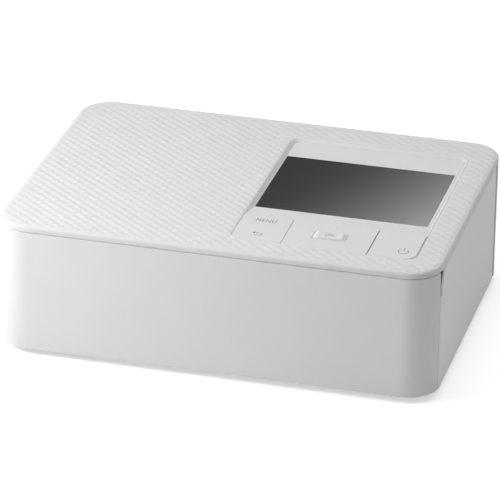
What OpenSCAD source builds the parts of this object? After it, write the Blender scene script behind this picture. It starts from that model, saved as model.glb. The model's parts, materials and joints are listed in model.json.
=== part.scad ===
// Compact dye-sublimation photo printer with a hinged cassette cover in front and a hinged
// side panel over the ink cassette. Millimetres, +X right, +Y back, +Z up. The origin is the
// middle of the footprint, at the height of the surface that the feet stand on.

/* [Body] */
// Width over the side walls
body_w = 182.2; // [180:0.1:190]
// Depth from the front cover to the rear wall
body_d = 133; // [130:0.1:140]
// Height of the deck above the table
body_h = 57.6; // [56:0.1:60]
// Plan radius of the four upright corners
corner_r = 13.5; // [10:0.1:16]
// Thickness of the outer walls and covers
wall = 2.4; // [2:0.1:2.8]
// Height of the walls' lower edge
skirt_z = 3; // [2.8:0.1:3.6]
// Thickness of the top cover's deck
deck_t = 2.55; // [2.3:0.05:2.8]
// Fillet round the top edge
edge_r = 1.2; // [0.8:0.1:1.5]
// Width of the open seams round the two covers
seam = 0.3; // [0.25:0.05:0.4]

/* [Hinged covers] */
// Radius of the covers' hinge barrels
barrel_r = 3; // [2.8:0.1:3.2]
// Radius of the hinge pins
hinge_pin_r = 1.2; // [1:0.1:1.4]
// Radial running clearance of pins and shafts
run_c = 0.05; // [0.03:0.01:0.08]
// Distance from the front to the seam between the front cover and the side panel
front_seam_d = 10.3; // [9.5:0.1:11]
// Distance from the rear to the side panel's hinge axis
ink_hinge_d = 16.9; // [16:0.1:18.5]
// Fillet along the covers' upper edges
cover_edge_r = 0.45; // [0.3:0.05:0.6]
// Height of the finger notch beside the front cover's edge
notch_h = 10.7; // [9:0.1:12]
// Radius of the notch's swept edge
notch_r = 14; // [13:0.1:16]
// Fillet along the notch's swept edge
notch_edge_r = 1.5; // [1:0.1:1.8]
// Thickness of the dark wall in the notch
notch_wall = 1; // [0.8:0.1:1.2]

/* [Control panel] */
// Distance from the right side to the control panel
panel_side = 11.5; // [10:0.1:14]
// Width of the control panel beyond the display window
panel_margin = 4.2; // [3.8:0.1:6]
// Distance from the front to the control panel
panel_front = 12.2; // [11.5:0.1:13.5]
// Distance from the rear to the control panel
panel_rear = 16.5; // [14.5:0.1:19]
// Corner radius of the control panel
panel_r = 5; // [4:0.1:6]
// Depth of the recess round the display
recess = 1; // [0.8:0.05:1.2]
// Width of the recess's sloping wall
slope_w = 1.3; // [1:0.05:1.5]
// Depth of the row of key plates
keys_d = 23.4; // [22:0.1:24.5]
// Gap round the key plates
key_gap = 0.2; // [0.15:0.05:0.25]
// Width of the menu plate, to the middle of the gap beside it
menu_w = 21; // [20:0.1:22]
// Width of the power plate, to the middle of the gap beside it
power_w = 19.6; // [19:0.1:21]
// Width of the display window
window_w = 71.6; // [70:0.1:72]
// Depth of the display window
window_d = 52.8; // [50:0.1:54]
// Distance from the key plates to the display window
window_gap = 10.7; // [9:0.1:12]
// Width of the raised confirm key
ok_w = 13.9; // [12:0.1:16]
// Depth of the raised confirm key
ok_d = 7.1; // [6:0.1:8]
// Height of the confirm key above its plate
ok_rise = 0.45; // [0.3:0.05:0.6]

/* [Paper path] */
// Room for posts and gears on each side of the paper cassette slot
slot_side = 33.1; // [32.5:0.1:35]
// Middle of the paper path
slot_cx = -8; // [-9:0.1:-7]
// Lower edge of the paper cassette slot
slot_z0 = 7.2; // [7:0.1:8]
// Height of the paper cassette slot
slot_h = 26.5; // [24:0.1:27]
// Height of the paper's plane through the rollers
paper_z = 19.2; // [19:0.1:19.5]
// Height of the rear paper slot
rear_slot_h = 7; // [6:0.1:8]
// Radius of the platen roller
platen_r = 6; // [5.5:0.1:6.2]
// Radius of the capstan roller
capstan_r = 4; // [3.6:0.1:4.2]
// Radius of the roller shafts
shaft_r = 2; // [1.6:0.1:2.2]

/* [Ink cassette] */
// Clearance between the ink cassette and the arm above it
ink_gap = 0.6; // [0.4:0.1:1]
// Distance between the two spools
spool_pitch = 38; // [37.5:0.1:38.5]
// Gap between the wound film and the outside of the case
film_gap = 2.5; // [2.1:0.1:3.5]

/* [Gear train] */
// Gear module
gear_m = 0.6; // [0.58:0.01:0.61]
// Thickness of each gear rim
gear_t = 4; // [3.5:0.1:4.2]
// Backlash along the pitch circle
backlash = 0.16; // [0.12:0.01:0.2]

/* [Hidden] */
$fn = 48;

half_w = body_w / 2;
half_d = body_d / 2;
seam_z = body_h - deck_t;
cover_top = seam_z - seam;
touch = 0.02;
front_seam_y = -half_d + front_seam_d;
ink_hinge_y = half_d - ink_hinge_d;

// Base, feet and posts
foot_h = 1.2;
foot_r = 5;
pan_inset = 4;
pan_top = skirt_z - seam;
pan_t = pan_top - foot_h;
post_r = 3.6;
screw_r = 1.5;
screw_head_r = 2.8;
screw_head_h = 1.6;
post_x = half_w - 12.5;
post_y = half_d - 12.3;
ledge_t = 2;
ledge_w = 5.5;
liner_t = 1.2;
post_places = [[-post_x, -post_y], [-post_x, post_y], [post_x, post_y]];
foot_places = [for (sx = [-1, 1], sy = [-1, 1]) [sx * (post_x - 12), sy * post_y]];

// Covers
barrel_x = half_w - barrel_r;
front_hinge_y = -(half_d - corner_r);
hinge_bore_r = hinge_pin_r + run_c;
lug_gap = seam;

// Inner fascias and frames
fascia_y = -(half_d - wall - 3.1);
fascia_t = 2;
fascia_half_w = half_w - 7.1;
side_fascia_x = half_w - 8.1;
side_fascia_t = 1.6;
slot_w = body_w - 2 * slot_side;
rear_slot_w = slot_w - 8;
frame_x0 = slot_cx - slot_w / 2;
frame_x1 = slot_cx + slot_w / 2 + 8;
frame_t = 1.2;
slot_boss = 4;
frame_y0 = fascia_y + slot_boss;
frame_y1 = half_d - 12.5;
frame_top = seam_z - 4.85;
slot_z1 = slot_z0 + slot_h;
slot_r = 2;

// Rollers: [y, z] of each axis
capstan_at = [0, paper_z - capstan_r - 0.1];
platen_at = [18, paper_z - platen_r - 0.2];
pinch_r = 2.6;
pinch_at = [capstan_at[0], paper_z + pinch_r + 0.1];
pick_r = 6.9;
roller_x0 = frame_x0 + 6;
roller_x1 = frame_x1 - 6;
pinch_pitch = (roller_x1 - roller_x0 - 8) / 4;
bush_r = 3.5;
bush_flange_r = 4.6;
bush_c = 0.02;

// Thermal head's pivot and arm
arm_t = 1;
arm_z0 = frame_top - 2.8;
head_pivot_at = [half_d - 14.5, arm_z0 + arm_t / 2];
head_rod_r = 1.5;

// Ink cassette: it fills the height between the pinch roller and the arm
ink_z0 = pinch_at[1] + pinch_r + 0.9;
lobe_r = (arm_z0 - ink_gap - ink_z0) / 2;
film_r = lobe_r - film_gap;
spool_z = ink_z0 + lobe_r;
supply_at = [-1, spool_z];
take_up_at = [supply_at[0] + spool_pitch, spool_z];
ink_x0 = frame_x0 + 0.8;
ink_x1 = side_fascia_x + 1;
ink_open_x0 = ink_x0 + 4;
ink_open_x1 = slot_cx + slot_w / 2 - 3;
ink_wall = 1.4;
ink_window_c = 1.2;

// Thermal head
head_x0 = ink_open_x0 + 1.5;
head_x1 = ink_open_x1 - 3;
head_y0 = 12.5;
head_y1 = 23.5;
head_z0 = paper_z + 0.2;
head_bar_h = 3.5;
fin_t = 1;
fin_count = 15;

// Gear train: tooth counts, then [y, z] of each axis, each worked out from its mesh
pinion_teeth = 14;
compound_big = 45;
compound_small = 15;
capstan_teeth = 30;
take_up_teeth = 28;
gear_span = norm(take_up_at - capstan_at);
idler_teeth = ceil((gear_span + 1) / gear_m - (capstan_teeth + take_up_teeth) / 2);
pick_teeth = 32;
pressure_angle = 20;
tooth_add = 0.8;
tooth_ded = 1.1;
layer_gap = 0.8;
layer1_x = frame_x0 - frame_t - 1;
layer2_x = layer1_x - gear_t - layer_gap;
gear_post_r = 1.5;

function pitch_r(teeth) = teeth * gear_m / 2;
function away(from, dist, dir) = [from[0] + dist * cos(dir), from[1] + dist * sin(dir)];
function direction(a, b) = atan2(b[1] - a[1], b[0] - a[0]);
// Turn of gear b, in degrees, that puts one of its gaps on gear a's tooth
function mesh_turn(teeth_a, turn_a, teeth_b, dir) =
    dir + 180 - (180 - teeth_a * (dir - turn_a)) / teeth_b;

compound_at = away(capstan_at, pitch_r(capstan_teeth + compound_small), 125);
pinion_at = away(compound_at, pitch_r(compound_big + pinion_teeth), 140);
pick_at = away(compound_at, pitch_r(compound_small + pick_teeth), 181);
idler_reach = pitch_r(capstan_teeth + idler_teeth);
take_up_reach = pitch_r(idler_teeth + take_up_teeth);
idler_swing = acos((idler_reach * idler_reach + gear_span * gear_span
    - take_up_reach * take_up_reach) / (2 * idler_reach * gear_span));
idler_at = away(capstan_at, idler_reach, direction(capstan_at, take_up_at) + idler_swing);

capstan_turn = 0;
compound_turn = mesh_turn(capstan_teeth, capstan_turn, compound_small,
    direction(capstan_at, compound_at));
pinion_turn = mesh_turn(compound_big, compound_turn, pinion_teeth,
    direction(compound_at, pinion_at));
idler_turn = mesh_turn(capstan_teeth, capstan_turn, idler_teeth,
    direction(capstan_at, idler_at));
take_up_turn = mesh_turn(idler_teeth, idler_turn, take_up_teeth,
    direction(idler_at, take_up_at));
pick_turn = mesh_turn(compound_small, compound_turn, pick_teeth,
    direction(compound_at, pick_at));

// Feed motor
motor_r = 7;
motor_l = 22;

// Control panel
panel_w = window_w + panel_margin;
panel_x1 = half_w - panel_side;
panel_x0 = panel_x1 - panel_w;
panel_y0 = -half_d + panel_front;
panel_y1 = half_d - panel_rear;
keys_y1 = panel_y0 + keys_d;
window_y0 = keys_y1 + window_gap;
gap_x1 = panel_x0 + menu_w;
gap_x2 = panel_x1 - power_w;
recess_z = body_h - recess;
key_z = body_h - 0.1;
key_t = 1.5;
key_y0 = panel_y0 + key_gap;
key_mid_y = (panel_y0 + keys_y1) / 2;
flange_w = 2.4;
flange_t = 1.05;
flange_z = seam_z - flange_t;
window_x0 = panel_x0 + (panel_w - window_w) / 2 - 0.3;
window_y1 = window_y0 + window_d;
window_t = 0.9;
window_c = 0.05;
window_lip = 2.2;
display_z0 = seam_z - 3.45;
rock_z = seam_z - 0.45;
rock_r = 0.7;
ok_x = (gap_x1 + gap_x2) / 2;
ok_y = key_mid_y + 0.6;
ok_gap = 0.35;
switch_h = 2.4;
key_board_z = seam_z - 4.45;
key_board_t = 1.2;
switch_gap = 0.7;

// Boards and sockets
board_t = 1.6;
main_board_z = seam_z - 3.55;
board_x0 = -half_w + 7.1;
board_x1 = panel_x0 - 5.8;
board_y0 = -half_d + 20.5;
board_y1 = half_d - 22.5;
board_holes = [for (x = [board_x0 + 8, board_x1 - 6], y = [board_y0 + 4, board_y1 - 4]) [x, y]];
card_y = front_hinge_y + 16;
connector_y0 = card_y - 10;
connector_y1 = card_y + 10;
connector_z = 22.4;
power_z = 8;
dc_x = half_w - 25.1;
usb_c_x = half_w - 48.1;
dc_r = 2.8;

// Cooling fan
fan_w = 25;
fan_t = 8;
fan_x = -half_w + 44.1;
fan_z = seam_z - 17.05;
fan_y1 = half_d - wall - liner_t;

// Plain shapes ---------------------------------------------------------------------------

module rounded_rect(w, d, r) {
    square([w - 2 * r, d], center = true);
    square([w, d - 2 * r], center = true);
    for (sx = [-1, 1], sy = [-1, 1])
        translate([sx * (w / 2 - r), sy * (d / 2 - r)]) circle(r);
}

module rounded_plate(x0, x1, y0, y1, r, z0, z1) {
    translate([(x0 + x1) / 2, (y0 + y1) / 2, z0])
        linear_extrude(z1 - z0) rounded_rect(x1 - x0, y1 - y0, r);
}

module block(x0, x1, y0, y1, z0, z1) {
    translate([x0, y0, z0]) cube([x1 - x0, y1 - y0, z1 - z0]);
}

// A cylinder along X from x0 to x1, at the [y, z] position given
module rod(at, r, x0, x1) {
    translate([x0, at[0], at[1]]) rotate([90, 0, 90]) cylinder(r = r, h = x1 - x0);
}

// An outline in the Y-Z plane, drawn as [y, z], extruded along X
module across_x(x0, x1) {
    translate([x0, 0, 0]) rotate([90, 0, 90]) linear_extrude(x1 - x0) children();
}

// An outline in the X-Z plane, drawn as [x, z], extruded along Y
module across_y(y0, y1) {
    translate([0, y1, 0]) rotate([90, 0, 0]) linear_extrude(y1 - y0) children();
}

module edge_profile(h, r) {
    square([corner_r - r, h]);
    square([corner_r, h - r]);
    translate([corner_r - r, h - r]) circle(r);
}

// A ring of width t just inside the outer wall, let a little into it
module inner_ring(z0, z1, t) {
    in0 = wall - 0.8;
    in1 = wall + t;
    translate([0, 0, z0]) linear_extrude(z1 - z0) difference() {
        rounded_rect(body_w - 2 * in0, body_d - 2 * in0, corner_r - in0);
        rounded_rect(body_w - 2 * in1, body_d - 2 * in1, corner_r - in1);
    }
}

// The body's plan outline as a slab, with a fillet of radius r round its top edge
module filleted_slab(h, r) {
    straight_x = half_w - corner_r;
    straight_y = half_d - corner_r;
    linear_extrude(h) square([2 * straight_x, 2 * straight_y], center = true);
    for (side = [[0, straight_x, straight_y], [90, straight_y, straight_x],
            [180, straight_x, straight_y], [270, straight_y, straight_x]])
        rotate(side[0]) translate([side[1], 0, 0]) rotate([90, 0, 0])
            linear_extrude(2 * side[2], center = true) edge_profile(h, r);
    for (c = [[1, 1, 0], [-1, 1, 90], [-1, -1, 180], [1, -1, 270]])
        translate([c[0] * straight_x, c[1] * straight_y, 0]) rotate(c[2])
            rotate_extrude(angle = 90) edge_profile(h, r);
}

// The casing's outer wall below the top cover, with its upper edge rounded
module cover_skin() {
    difference() {
        translate([0, 0, skirt_z]) filleted_slab(cover_top - skirt_z, cover_edge_r);
        translate([0, 0, skirt_z - 1]) linear_extrude(body_h)
            rounded_rect(body_w - 2 * wall, body_d - 2 * wall, corner_r - wall);
    }
}

module at_posts() {
    for (p = post_places) translate(p) children();
}

module screw(r, head_r, len) {
    translate([0, 0, screw_head_h - touch]) cylinder(r = r, h = len - screw_head_h);
    difference() {
        cylinder(r = head_r, h = screw_head_h);
        translate([0, 0, -0.1]) cylinder(r = head_r * 0.45, h = 0.9, $fn = 6);
    }
}

// Casing ---------------------------------------------------------------------------------

module hinge_lug(x, y) {
    translate([x, y, 1.5]) cylinder(r = barrel_r - 0.5, h = skirt_z - lug_gap - 1.5);
}

module base_pan() color([0.2, 0.2, 0.21]) difference() {
    union() {
        translate([0, 0, foot_h]) linear_extrude(pan_t)
            rounded_rect(body_w - 2 * pan_inset, body_d - 2 * pan_inset, corner_r - pan_inset);
        at_posts() translate([0, 0, pan_top - touch])
            cylinder(r = post_r, h = frame_top - pan_top);
        hinge_lug(-barrel_x, front_hinge_y);
        hinge_lug(barrel_x, ink_hinge_y);
        for (x = [frame_x0 + 8, slot_cx, frame_x1 - 16], y = [-45, -15])
            translate([x, y, pan_top - touch]) cylinder(r = 3, h = slot_z0 - 1.2 - pan_top);
        for (x = [usb_c_x - 4, dc_x + 3]) translate([x, frame_y1 + 2.2, pan_top - touch])
            cylinder(r = 2, h = power_z - pan_top + touch);
        pan_ribs();
    }
    at_posts() {
        cylinder(r = screw_r + 0.1, h = body_h);
        translate([0, 0, -1]) cylinder(r = screw_head_r + 0.2, h = foot_h + 3);
    }
    for (x = [-barrel_x, barrel_x])
        translate([x, x < 0 ? front_hinge_y : ink_hinge_y, 0])
            cylinder(r = hinge_pin_r + bush_c, h = pan_top + 1);
    for (i = [0 : 9]) rounded_plate(-32 + 7 * i, -29.5 + 7 * i, 10, 40, 1.2, 0, pan_top + 1);
    for (p = frame_screw_places) translate(p) cylinder(r = frame_screw_r + bush_c, h = pan_top + 1);
    base_screw_places() {
        cylinder(r = screw_r + 0.1, h = pan_top + 1);
        cylinder(r = screw_head_r - 0.3, h = foot_h + 0.5);
    }
}

// Ribs on the floor of the pan, in front of the vents
module pan_ribs() {
    y0 = frame_y0 + 3;
    for (x = [frame_x0 + 22, frame_x0 + 44, frame_x1 - 36])
        block(x, x + 1.2, y0, 6, pan_top - touch, pan_top + 1.6);
    for (y = [y0 + 4, -30, 4])
        block(frame_x0 + 3, frame_x1 - 3, y, y + 1.2, pan_top - touch, pan_top + 1.6);
}

module base_screw_places() {
    for (p = [[-45, 1], [0, 1], [45, 1]])
        translate([p[0], half_d - wall - ledge_w / 2 - 0.6, 0]) children();
    translate([-(half_w - wall - ledge_w / 2 - 0.6), 8, 0]) children();
}

module rubber_feet() color([0.12, 0.12, 0.12]) for (p = foot_places) translate(p) {
    cylinder(r1 = foot_r - 0.5, r2 = foot_r, h = 0.5);
    translate([0, 0, 0.5]) cylinder(r = foot_r, h = foot_h - 0.5);
}

module base_screws() color([0.7, 0.7, 0.72]) base_screw_places()
    translate([0, 0, foot_h + 0.5 - screw_head_h])
        screw(screw_r - 0.05, screw_head_r - 0.4, screw_head_h + pan_t + ledge_t - 0.6);

module case_screws() color([0.7, 0.7, 0.72]) at_posts()
    translate([0, 0, foot_h + 0.4]) screw(screw_r - 0.05, screw_head_r, body_h - deck_t - 3);

// The fixed wall: left side, rear and the right rear corner
module fixed_wall_region() {
    block(-half_w - 1, 0, front_hinge_y + barrel_r + seam, half_d + 1, 0, body_h);
    block(-touch, half_w + 1, ink_hinge_y + barrel_r + seam, half_d + 1, 0, body_h);
}

module vent_slots(n, pitch, len, w) {
    for (i = [0 : n - 1]) translate([0, (i - (n - 1) / 2) * pitch])
        rounded_rect(len, w, w / 2 - 0.01);
}

module rear_shell() color([0.92, 0.92, 0.92]) difference() {
    intersection() {
        union() {
            cover_skin();
            inner_ring(skirt_z + 2, seam_z, liner_t);
            inner_ring(pan_top, pan_top + ledge_t, ledge_w);
        }
        fixed_wall_region();
    }
    translate([0, 0, cover_top]) linear_extrude(deck_t) difference() {
        rounded_rect(body_w + 1, body_d + 1, corner_r);
        rounded_rect(body_w - 2 * wall, body_d - 2 * wall, corner_r - wall);
    }
    at_posts() cylinder(r = post_r + 0.1, h = body_h);
    base_screw_places() cylinder(r = screw_r, h = 10);
    translate([0, half_d - wall - ledge_w - 1, 0]) rotate([-90, 0, 0]) {
        translate([slot_cx, -paper_z, 0]) linear_extrude(20)
            rounded_rect(rear_slot_w, rear_slot_h, 1.5);
        translate([dc_x, -(power_z + board_t + 4.6), 0]) cylinder(r = dc_r + 1.4, h = 20);
        translate([usb_c_x, -(power_z + board_t + 1.7), 0]) linear_extrude(20)
            rounded_rect(9.6, 3.8, 1.8);
        translate([fan_x, -fan_z, 0]) linear_extrude(20) vent_slots(7, 3, 22, 1.6);
        translate([half_w - 14, -22, 0]) linear_extrude(20) rounded_rect(7, 3, 1);
    }
    block(-half_w + wall, -half_w + wall + 2, front_hinge_y, card_y + 14, connector_z - 8,
        connector_z + 6.5);
    translate([-half_w - 1, card_y, connector_z]) rotate([90, 0, 90]) {
        translate([0, board_t + 2.2]) linear_extrude(10) rounded_rect(25.4, 3.2, 0.8);
        translate([0, -3.9]) linear_extrude(10) rounded_rect(14, 6.6, 0.8);
        translate([63, 8]) linear_extrude(10) vent_slots(6, 3.2, 26, 1.6);
    }
}

// Opening of the control panel: a recess with sloping walls behind, straight walls in front
module panel_funnel(c, h) {
    x0 = panel_x0 + slope_w + c;
    x1 = panel_x1 - slope_w - c;
    y1 = panel_y1 - slope_w - c;
    cx0 = panel_x0 + panel_r;
    cx1 = panel_x1 - panel_r;
    cy = panel_y1 - panel_r;
    side = [[0, 0], [slope_w * h / recess, h]];
    across_y(keys_y1, cy) polygon([[x0, 0], [x1, 0], [x1 + side[1][0], h], [x0 - side[1][0], h]]);
    across_x(cx0, cx1) polygon([[keys_y1, 0], [y1, 0], [y1 + side[1][0], h], [keys_y1, h]]);
    for (x = [cx0, cx1]) translate([x, cy, 0])
        cylinder(r1 = panel_r - slope_w - c, r2 = panel_r - slope_w - c + side[1][0], h = h);
}

module panel_opening() {
    translate([0, 0, recess_z]) panel_funnel(0, recess + 0.5);
    rounded_plate(panel_x0 + slope_w, panel_x1 - slope_w, keys_y1 - 10, panel_y1 - slope_w,
        panel_r - slope_w, seam_z - 1, recess_z + touch);
    rounded_plate(panel_x0, panel_x1, panel_y0, keys_y1 + panel_r, panel_r,
        seam_z - 1, seam_z);
    difference() {
        rounded_plate(panel_x0, panel_x1, panel_y0, keys_y1 + 3 * panel_r, panel_r,
            seam_z - 1, body_h + 1);
        block(0, body_w, keys_y1 + key_gap, body_d, 0, body_h + 2);
    }
}

module top_cover() color([0.9, 0.9, 0.9]) difference() {
    union() {
        translate([0, 0, seam_z]) filleted_slab(deck_t, edge_r);
        at_posts() translate([0, 0, frame_top]) cylinder(r = post_r, h = deck_t + 2.4);
        for (p = board_holes) translate([p[0], p[1], main_board_z + board_t])
            cylinder(r = 2.4, h = seam_z - main_board_z - board_t + touch);
        for (x = [-40, 20, 62]) block(x, x + 8, fascia_y + fascia_t + 0.1, fascia_y + fascia_t + 1.4,
            seam_z - 5, seam_z + touch);
        for (y = [-25, 0, 25]) block(board_x0, board_x1, y, y + 1.2, seam_z - 1.2, seam_z + touch);
        for (x = [-60, -40, -20]) block(x, x + 1.2, -50, 50, seam_z - 1.2, seam_z + touch);
    }
    panel_opening();
    at_posts() cylinder(r = screw_r, h = body_h - 1);
    for (p = board_holes) translate([p[0], p[1], main_board_z])
        cylinder(r = 0.9, h = body_h - main_board_z - 1.6);
    translate([-barrel_x, front_hinge_y, 0]) cylinder(r = hinge_pin_r + bush_c, h = seam_z + 1.3);
    translate([barrel_x, ink_hinge_y, 0]) cylinder(r = hinge_pin_r + bush_c, h = seam_z + 1.3);
}

// Covers ---------------------------------------------------------------------------------

rib_x = fascia_half_w - 14;
catch_x = fascia_half_w - 8;
catch_z = 22;
catch_gap = 0.35;

module front_cover() color([0.93, 0.93, 0.93]) difference() {
    union() {
        intersection() {
            cover_skin();
            union() {
                block(-half_w - 1, 0, -half_d - 1, front_hinge_y, 0, body_h);
                block(-touch, half_w + 1, -half_d - 1, front_seam_y, 0, body_h);
            }
        }
        translate([-barrel_x, front_hinge_y, skirt_z])
            cylinder(r = barrel_r, h = cover_top - skirt_z);
        for (z = [12, 24, 36, 48])
            block(-rib_x, rib_x, -half_d + wall - touch, fascia_y - 1, z, z + 1.2);
        for (i = [0 : 7]) block(-rib_x + rib_x * i * 2 / 7 - 0.6, -rib_x + rib_x * i * 2 / 7 + 0.6,
            -half_d + wall - touch, fascia_y - 1, skirt_z + 2, cover_top - 2);
        across_y(-half_d + wall - touch, fascia_y + 1.2) translate([catch_x, catch_z])
            rounded_rect(6, 10, 1.5);
    }
    translate([-barrel_x, front_hinge_y, 0]) cylinder(r = hinge_bore_r, h = body_h);
}

notch_at = [front_seam_y + seam + notch_r + 1, cover_top - notch_h];

// The quarter of the notch's plane above and in front of the centre of its swept edge
module notch_quarter(x0, x1) {
    block(x0, x1, front_seam_y - 1, notch_at[0], notch_at[1], body_h);
}

// Rounds the outer edge of a disc of radius notch_r whose face is at half_w
module notch_fillet() {
    r = notch_edge_r;
    intersection() {
        translate([half_w, notch_at[0], notch_at[1]]) rotate([0, 90, 0]) rotate_extrude()
            difference() {
                translate([notch_r - r, -r]) square([r + 1, r + 1]);
                translate([notch_r - r, -r]) circle(r);
            }
        notch_quarter(half_w - r - 1, half_w + 2);
    }
}

module ink_cover() color([0.88, 0.88, 0.88]) difference() {
    union() {
        intersection() {
            cover_skin();
            block(0, half_w + 1, front_seam_y + seam, ink_hinge_y, 0, body_h);
        }
        translate([barrel_x, ink_hinge_y, skirt_z])
            cylinder(r = barrel_r, h = cover_top - skirt_z);
        for (z = [12, 28, 40]) block(half_w - wall - 1.6, half_w - wall + touch, -34, 38, z, z + 1.2);
        for (i = [0 : 6]) block(half_w - wall - 1.6, half_w - wall + touch,
            -34 + 12 * i - 0.6, -34 + 12 * i + 0.6, skirt_z + 2, cover_top - 2);
    }
    difference() {
        notch_quarter(half_w - wall - 3, half_w + 1);
        rod(notch_at, notch_r, half_w - wall - 4, half_w + 2);
    }
    notch_fillet();
    translate([barrel_x, ink_hinge_y, 0]) cylinder(r = hinge_bore_r, h = body_h);
}

// The dark wall that closes the finger notch behind, following its swept edge
module notch_well() {
    x0 = side_fascia_x + side_fascia_t - touch;
    x1 = half_w - 0.5;
    intersection() {
        difference() {
            rod(notch_at, notch_r + seam + notch_wall, x0, x1);
            rod(notch_at, notch_r + seam, x0 - 1, x1 + 1);
        }
        block(x0, x1, front_seam_y + 2 * seam, notch_at[0], notch_at[1] + seam, cover_top - seam);
    }
}

module hinge_pin(x, y) {
    translate([x, y, 1.5]) cylinder(r = hinge_pin_r, h = seam_z + 1.2 - 1.5);
}

module front_hinge_pin() color([0.7, 0.7, 0.72]) hinge_pin(-barrel_x, front_hinge_y);

module ink_hinge_pin() color([0.7, 0.7, 0.72]) hinge_pin(barrel_x, ink_hinge_y);

// Inner fascias and cassette bay -----------------------------------------------------------

module front_fascia() color([0.14, 0.14, 0.15]) difference() {
    union() {
        across_y(fascia_y, fascia_y + fascia_t)
            translate([0, (pan_top + seam_z) / 2])
                rounded_rect(2 * fascia_half_w, seam_z - pan_top, 1);
        across_y(fascia_y, fascia_y + slot_boss) translate([slot_cx, slot_z0 + slot_h / 2])
            rounded_rect(slot_w + 4, slot_h + 4, slot_r + 2);
    }
    across_y(fascia_y - 1, fascia_y + 5) translate([slot_cx, slot_z0 + slot_h / 2])
        rounded_rect(slot_w, slot_h, slot_r);
    translate([slot_cx, fascia_y, slot_z1]) rotate([-90, 0, 0])
        linear_extrude(8, center = true) rounded_rect(24, 6, 2.9);
    across_y(fascia_y - 1, fascia_y + 5) translate([catch_x, catch_z])
        rounded_rect(6 + 2 * catch_gap, 10 + 2 * catch_gap, 1.5 + catch_gap);
}

module side_fascia() color([0.14, 0.14, 0.15]) {
    notch_well();
    side_fascia_plate();
}

module side_fascia_plate() difference() {
    across_x(side_fascia_x, side_fascia_x + side_fascia_t) difference() {
        translate([(fascia_y + fascia_t + ink_hinge_y) / 2, (pan_top + seam_z) / 2])
            rounded_rect(ink_hinge_y - fascia_y - fascia_t, seam_z - pan_top, 1);
        translate([supply_at[0] + spool_pitch / 2, spool_z])
            rounded_rect(spool_pitch + 2 * (lobe_r + ink_window_c), 2 * (lobe_r + ink_window_c), 6);
        translate([-27, spool_z]) rounded_rect(14, 8, 2);
    }
    at_posts() cylinder(r = post_r + 0.3, h = body_h);
}

module cassette_bay_floor() color([0.16, 0.16, 0.17]) {
    x0 = frame_x0 + 0.5;
    x1 = slot_cx + slot_w / 2;
    block(x0, x1, fascia_y + slot_boss, -6, slot_z0 - 1.2, slot_z0);
    block(x1, x1 + 1.2, fascia_y + slot_boss, -32, slot_z0 - 1.2, slot_z1);
    rib_pitch = (x1 - x0 - 19.5) / 6;
    for (i = [0 : 6]) block(x0 + 8 + rib_pitch * i, x0 + 9 + rib_pitch * i, fascia_y + 6, -10,
        slot_z0 - touch, slot_z0 + 0.4);
    for (x = [x0 + 20, x1 - 28]) block(x, x + 8, -10, -6, slot_z0 - touch, slot_z0 + 5);
}

// Steel side plates and what they carry ----------------------------------------------------

module frame_holes() {
    for (a = [capstan_at, platen_at]) translate(a) circle(bush_r + bush_c);
    translate(pick_at) circle(shaft_r + run_c);
    translate(head_pivot_at) circle(head_rod_r + bush_c);
    for (a = tie_rod_places) translate(a) circle(1.5);
}

tie_rod_places = [[frame_y0 + 7, 42], [frame_y1 - 8, 12]];
tie_rod_r = 2.5;

foot_ys = [frame_y0 + 1, frame_y1 - 10];
frame_screw_r = 1.2;
frame_screw_places = [for (x = [frame_x0 - frame_t - 3.6, frame_x1 + frame_t + 4.6], y = foot_ys)
    [x, y + 4]];

// The two bent feet of a side plate, drilled for their screws
module frame_feet(x0, x1) {
    difference() {
        for (y = foot_ys) block(x0, x1, y, y + 8, pan_top, pan_top + frame_t);
        for (p = frame_screw_places) translate(p) cylinder(r = frame_screw_r + bush_c, h = 10);
    }
}

module left_frame() color([0.75, 0.76, 0.78]) {
    across_x(frame_x0 - frame_t, frame_x0) difference() {
        translate([(frame_y0 + frame_y1) / 2, (pan_top + frame_top) / 2])
            rounded_rect(frame_y1 - frame_y0, frame_top - pan_top, 3);
        frame_holes();
        translate(pinion_at) circle(3.2);
        translate(supply_at) circle(2.6);
        translate(take_up_at) circle(3.2);
        translate(compound_at) circle(1);
        translate(idler_at) circle(1);
        translate([frame_y0 + 12, 14]) rounded_rect(14, 10, 3);
        translate([28, 13]) rounded_rect(12, 8, 3);
    }
    frame_feet(frame_x0 - frame_t - 6.5, frame_x0 - frame_t + touch);
}

module right_frame() color([0.75, 0.76, 0.78]) {
    across_x(frame_x1, frame_x1 + frame_t) difference() {
        translate([(frame_y0 + frame_y1) / 2, (pan_top + frame_top) / 2])
            rounded_rect(frame_y1 - frame_y0, frame_top - pan_top, 3);
        frame_holes();
        translate([supply_at[0] + spool_pitch / 2, spool_z])
            rounded_rect(spool_pitch + 2 * (lobe_r + 0.6), 2 * (lobe_r + 0.6), 6);
        translate([frame_y0 + 15, 24]) rounded_rect(16, 24, 4);
    }
    frame_feet(frame_x1 + frame_t - touch, frame_x1 + frame_t + 8);
}

module frame_screws() color([0.7, 0.7, 0.72]) for (p = frame_screw_places)
    translate([p[0], p[1], pan_top + frame_t]) {
        translate([0, 0, -frame_t - pan_t + 0.3]) cylinder(r = frame_screw_r, h = frame_t + pan_t);
        difference() {
            cylinder(r = 2.3, h = 1.3);
            translate([0, 0, 0.5]) cylinder(r = 1.1, h = 1, $fn = 6);
        }
    }

module tie_rods() color([0.7, 0.7, 0.72]) for (a = tie_rod_places) {
    rod(a, tie_rod_r, frame_x0, frame_x1);
    rod(a, 1.48, frame_x0 - frame_t - 0.8, frame_x1 + frame_t + 0.8);
}

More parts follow.
